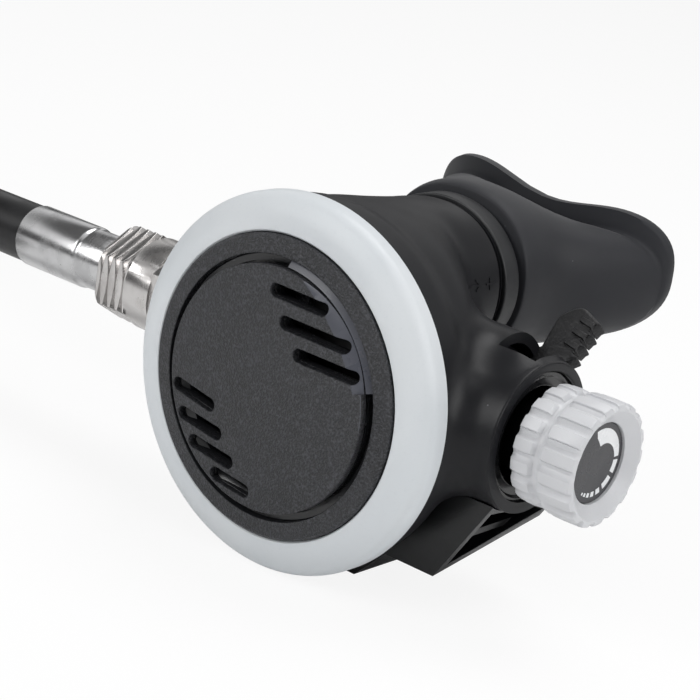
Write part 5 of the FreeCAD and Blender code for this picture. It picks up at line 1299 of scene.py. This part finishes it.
def mouth_rings():
    """Rings from the neck over the flare and the shield's edge to the inside and back."""
    # y, half width, half height, middle, squareness, share of the sweep, dip of the top
    outside = [
        (19.8, 15.8, 14.2, 51.3, 2.15, 0, 0),
        (24.3, 15.8, 14.2, 51.3, 2.15, 0, 0),
        (24.9, 15.6, 14.0, 51.3, 2.15, 0, 0),
        (25.2, 16.9, 15.4, 51.7, 2.2, 0, 0),
        (25.6, 17.4, 16.0, 51.9, 2.2, 0, 0),
        (28.0, 17.9, 16.5, 52.0, 2.2, 0, 0),
        (34.0, 19.3, 16.3, 52.0, 2.2, 0.05, 0.6),
        (39.5, 23.0, 15.6, 52.0, 2.3, 0.3, 2.2),
        (43.4, 27.0, 14.6, 51.9, 2.5, 0.8, 4.0),
        (44.6, 28.1, 14.2, 51.7, 2.6, 0.97, 5.0),
        (44.75, 28.4, 14.9, 52.4, 2.75, 0.99, 4.8),
        (45.0, 28.8, 15.9, 53.4, 2.9, 1.0, 3.9),
    ]
    inside = [
        (46.6, 29.0, 16.1, 53.4, 2.9, 1.0, 4.0),
        (47.4, 28.0, 15.4, 53.3, 2.8, 1.0, 3.8),
        (47.6, 22.0, 11.0, 52.0, 2.3, 1.0, 1.2),
        (47.4, 14.0, 7.0, 52.0, 2.1, 1.0, 0.1),
        (46.8, 11.2, 5.2, 52.0, 2.0, 0.6, 0),
        (42.0, 13.2, 7.4, 51.6, 2.0, 0, 0),
        (33.5, 13.3, 11.6, 51.2, 2.0, 0, 0),
        (19.8, 13.2, 11.6, 51.2, 2.0, 0, 0),
    ]
    rings = []
    rows = smooth_between(outside, 3) + smooth_between(inside, 2)
    for y, half, tall, middle, power, share, dip in rows:
        ring = []
        low = min(power, 2.3)
        points = oval(half, tall, middle, power)
        for k, (x, z) in enumerate(oval(half, tall, middle, low)):
            if k < len(points) // 2:
                x, z = points[k]
            deep = y + share * shield_depth(x)
            top = dip * math.exp(-(((x - NOTCH_X) / 13) ** 2)) if z > middle else 0
            ring.append((x, deep, z - top * (z - middle) / tall))
        rings.append(ring)
    return rings


def make_mouthpiece():
    """Shield on its neck, with two bite tabs, each with a rib across its end."""
    parts = [ring_skin(mouth_rings(), closed=True)]
    near = 46.4 + shield_depth(17)
    far = near + 15.5
    flat = Matrix.Translation((0, 0, MOUTH_Z))
    upright = facing_front(near + 13.6, 0)
    for side in (1, -1):
        x0, x1 = sorted((12.4 * side, 21.4 * side))
        outline = soften([(x0, near), (x1, near), (x1, far, 3), (x0, far, 3)])
        parts.append(plate(outline, [], 2.6, 0.9, flat))
        outline = soften([(x0, 47.8, 2), (x1, 47.8, 2), (x1, 56.2, 2), (x0, 56.2, 2)])
        parts.append(plate(outline, [], 2.8, 1.0, upright))
    whole = joined(*parts)
    piece("mouth_shield", whole, MOUTH_SILICONE, "regulator", ["mouthpiece"], sharp=60)


def make_tie():
    """Flat tie in the groove of the mouthpiece, with its head underneath."""
    profile = soften([(0.1, 19.9), (0.95, 19.9, 0.35), (0.95, 24.2, 0.35), (0.1, 24.2)])
    band = oval_band(profile, 15.9, 14.3, 51.3)
    head = block((-2.6, 19.8, 33.6), (2.6, 24.3, 37.0))
    bmesh.ops.bevel(head, geom=head.edges[:], offset=0.5, segments=3, affect="EDGES")
    whole = joined(band, head)
    piece("tie_band", whole, TIE_NYLON, "regulator", ["mouthpiece_tie"])


# ---------------- inner soft parts


def make_diaphragm():
    """Membrane: clamped bead, rolled fold and a flat middle."""
    profile = soften(
        [
            (0, 7),
            (22.4, 7, 0.5),
            (23.8, 8.7, 0.6),
            (27.3, 8.7, 0.6),
            (28.3, 4.95, 0.3),
            (SEAT_RADIUS, 4.95, 0.3),
            (SEAT_RADIUS, 6.75, 0.3),
            (29.1, 6.75, 0.3),
            (28.1, 9.5, 0.8),
            (23.4, 9.5, 0.8),
            (22.0, 7.8, 0.5),
            (0, 7.8),
        ]
    )
    shape = about_cover(profile, RING_EDGE_Y)
    piece("membrane_skin", shape, MEMBRANE_BLACK, "regulator", ["diaphragm"])


def make_valve():
    """Exhaust valve: a thin dished disc with a stem and a bulb."""
    profile = soften(
        [
            (0, 7.8),
            (5.5, 7.85),
            (9.7, 8.2, 0.1),
            (9.7, 8.5, 0.1),
            (5.5, 8.5),
            (1.3, 8.5, 0.3),
            (1.3, 10.1, 0.2),
            (2.1, 10.8, 0.4),
            (1.3, 14.3, 0.4),
            (0, 14.3),
        ]
    )
    shape = stand_up(lathe(profile, ALONG_Y, (0, 0, 0), 96), PORT_Y)
    piece("valve_disc", shape, MEMBRANE_BLACK, "regulator", ["exhaust_valve"])


def make_rounded(name, source, finish, width):
    """The node's own form with its edges rounded over."""
    shape = bmesh.new()
    shape.from_mesh(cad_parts[source].data)
    bmesh.ops.scale(shape, vec=(1 / MM, 1 / MM, 1 / MM), verts=shape.verts)
    bmesh.ops.remove_doubles(shape, verts=shape.verts, dist=1e-3)
    flat = math.radians(1.5)
    bmesh.ops.dissolve_limit(shape, angle_limit=flat, verts=shape.verts, edges=shape.edges)
    painted(shape, 0)
    settings = {"segments": 3, "limit_method": "ANGLE", "angle_limit": math.radians(32)}
    modifier = ("BEVEL", {"width": width, **settings})
    shape = with_modifiers(as_object(name, shape), modifier)
    piece(name, shape, finish, "regulator", [source], sharp=40)


def make_trim():
    """Deflector, nuts and ferrule, which keep their own form."""
    make_rounded("exhaust_wings", "exhaust_tee", TEE_GRAIN, 0.4)
    make_rounded("nut_rounded", "swivel_nut", NUT_CHROME, 0.18)
    make_rounded("locknut_rounded", "barrel_locknut", NUT_CHROME, 0.3)
    make_rounded("ferrule_rounded", "hose_ferrule", FERRULE_STEEL, 0.3)


# ---------------- carried-over nodes

NODE_FINISHES = [
    (SEAL_BLACK, ["diaphragm_plate", "orifice_seal", "valve_seat", "adjuster_seal"]),
    (SEAL_BLACK, ["stem_seal", "far_seal"]),
    (SPRING_STEEL, ["purge_spring", "poppet_spring"]),
    (SCREW_STEEL, ["adjusting_screw", "knob_screw", "demand_lever"]),
    (INNER_WHITE, ["poppet", "adjuster_pad", "exhaust_seat"]),
    (NUT_CHROME, ["hose_stem", "far_fitting"]),
    (FERRULE_STEEL, ["far_ferrule"]),
    (BARREL_BLACK, ["air_barrel"]),
    (BARREL_BRASS, ["orifice"]),
    (COLLAR_GLOSS, ["adjuster_gland"]),
    (LEVER_GRAIN, ["venturi_vane"]),
]


def finish_nodes():
    for material, names in NODE_FINISHES:
        for name in names:
            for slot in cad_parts[name].material_slots:
                slot.material = material


aim_camera()
light_studio()
lay_floor()
run_hose()
make_ring()
make_rim()
make_button()
make_knob()
make_dial()
make_venturi()
make_case()
make_mouthpiece()
make_tie()
make_diaphragm()
make_valve()
make_trim()
finish_nodes()
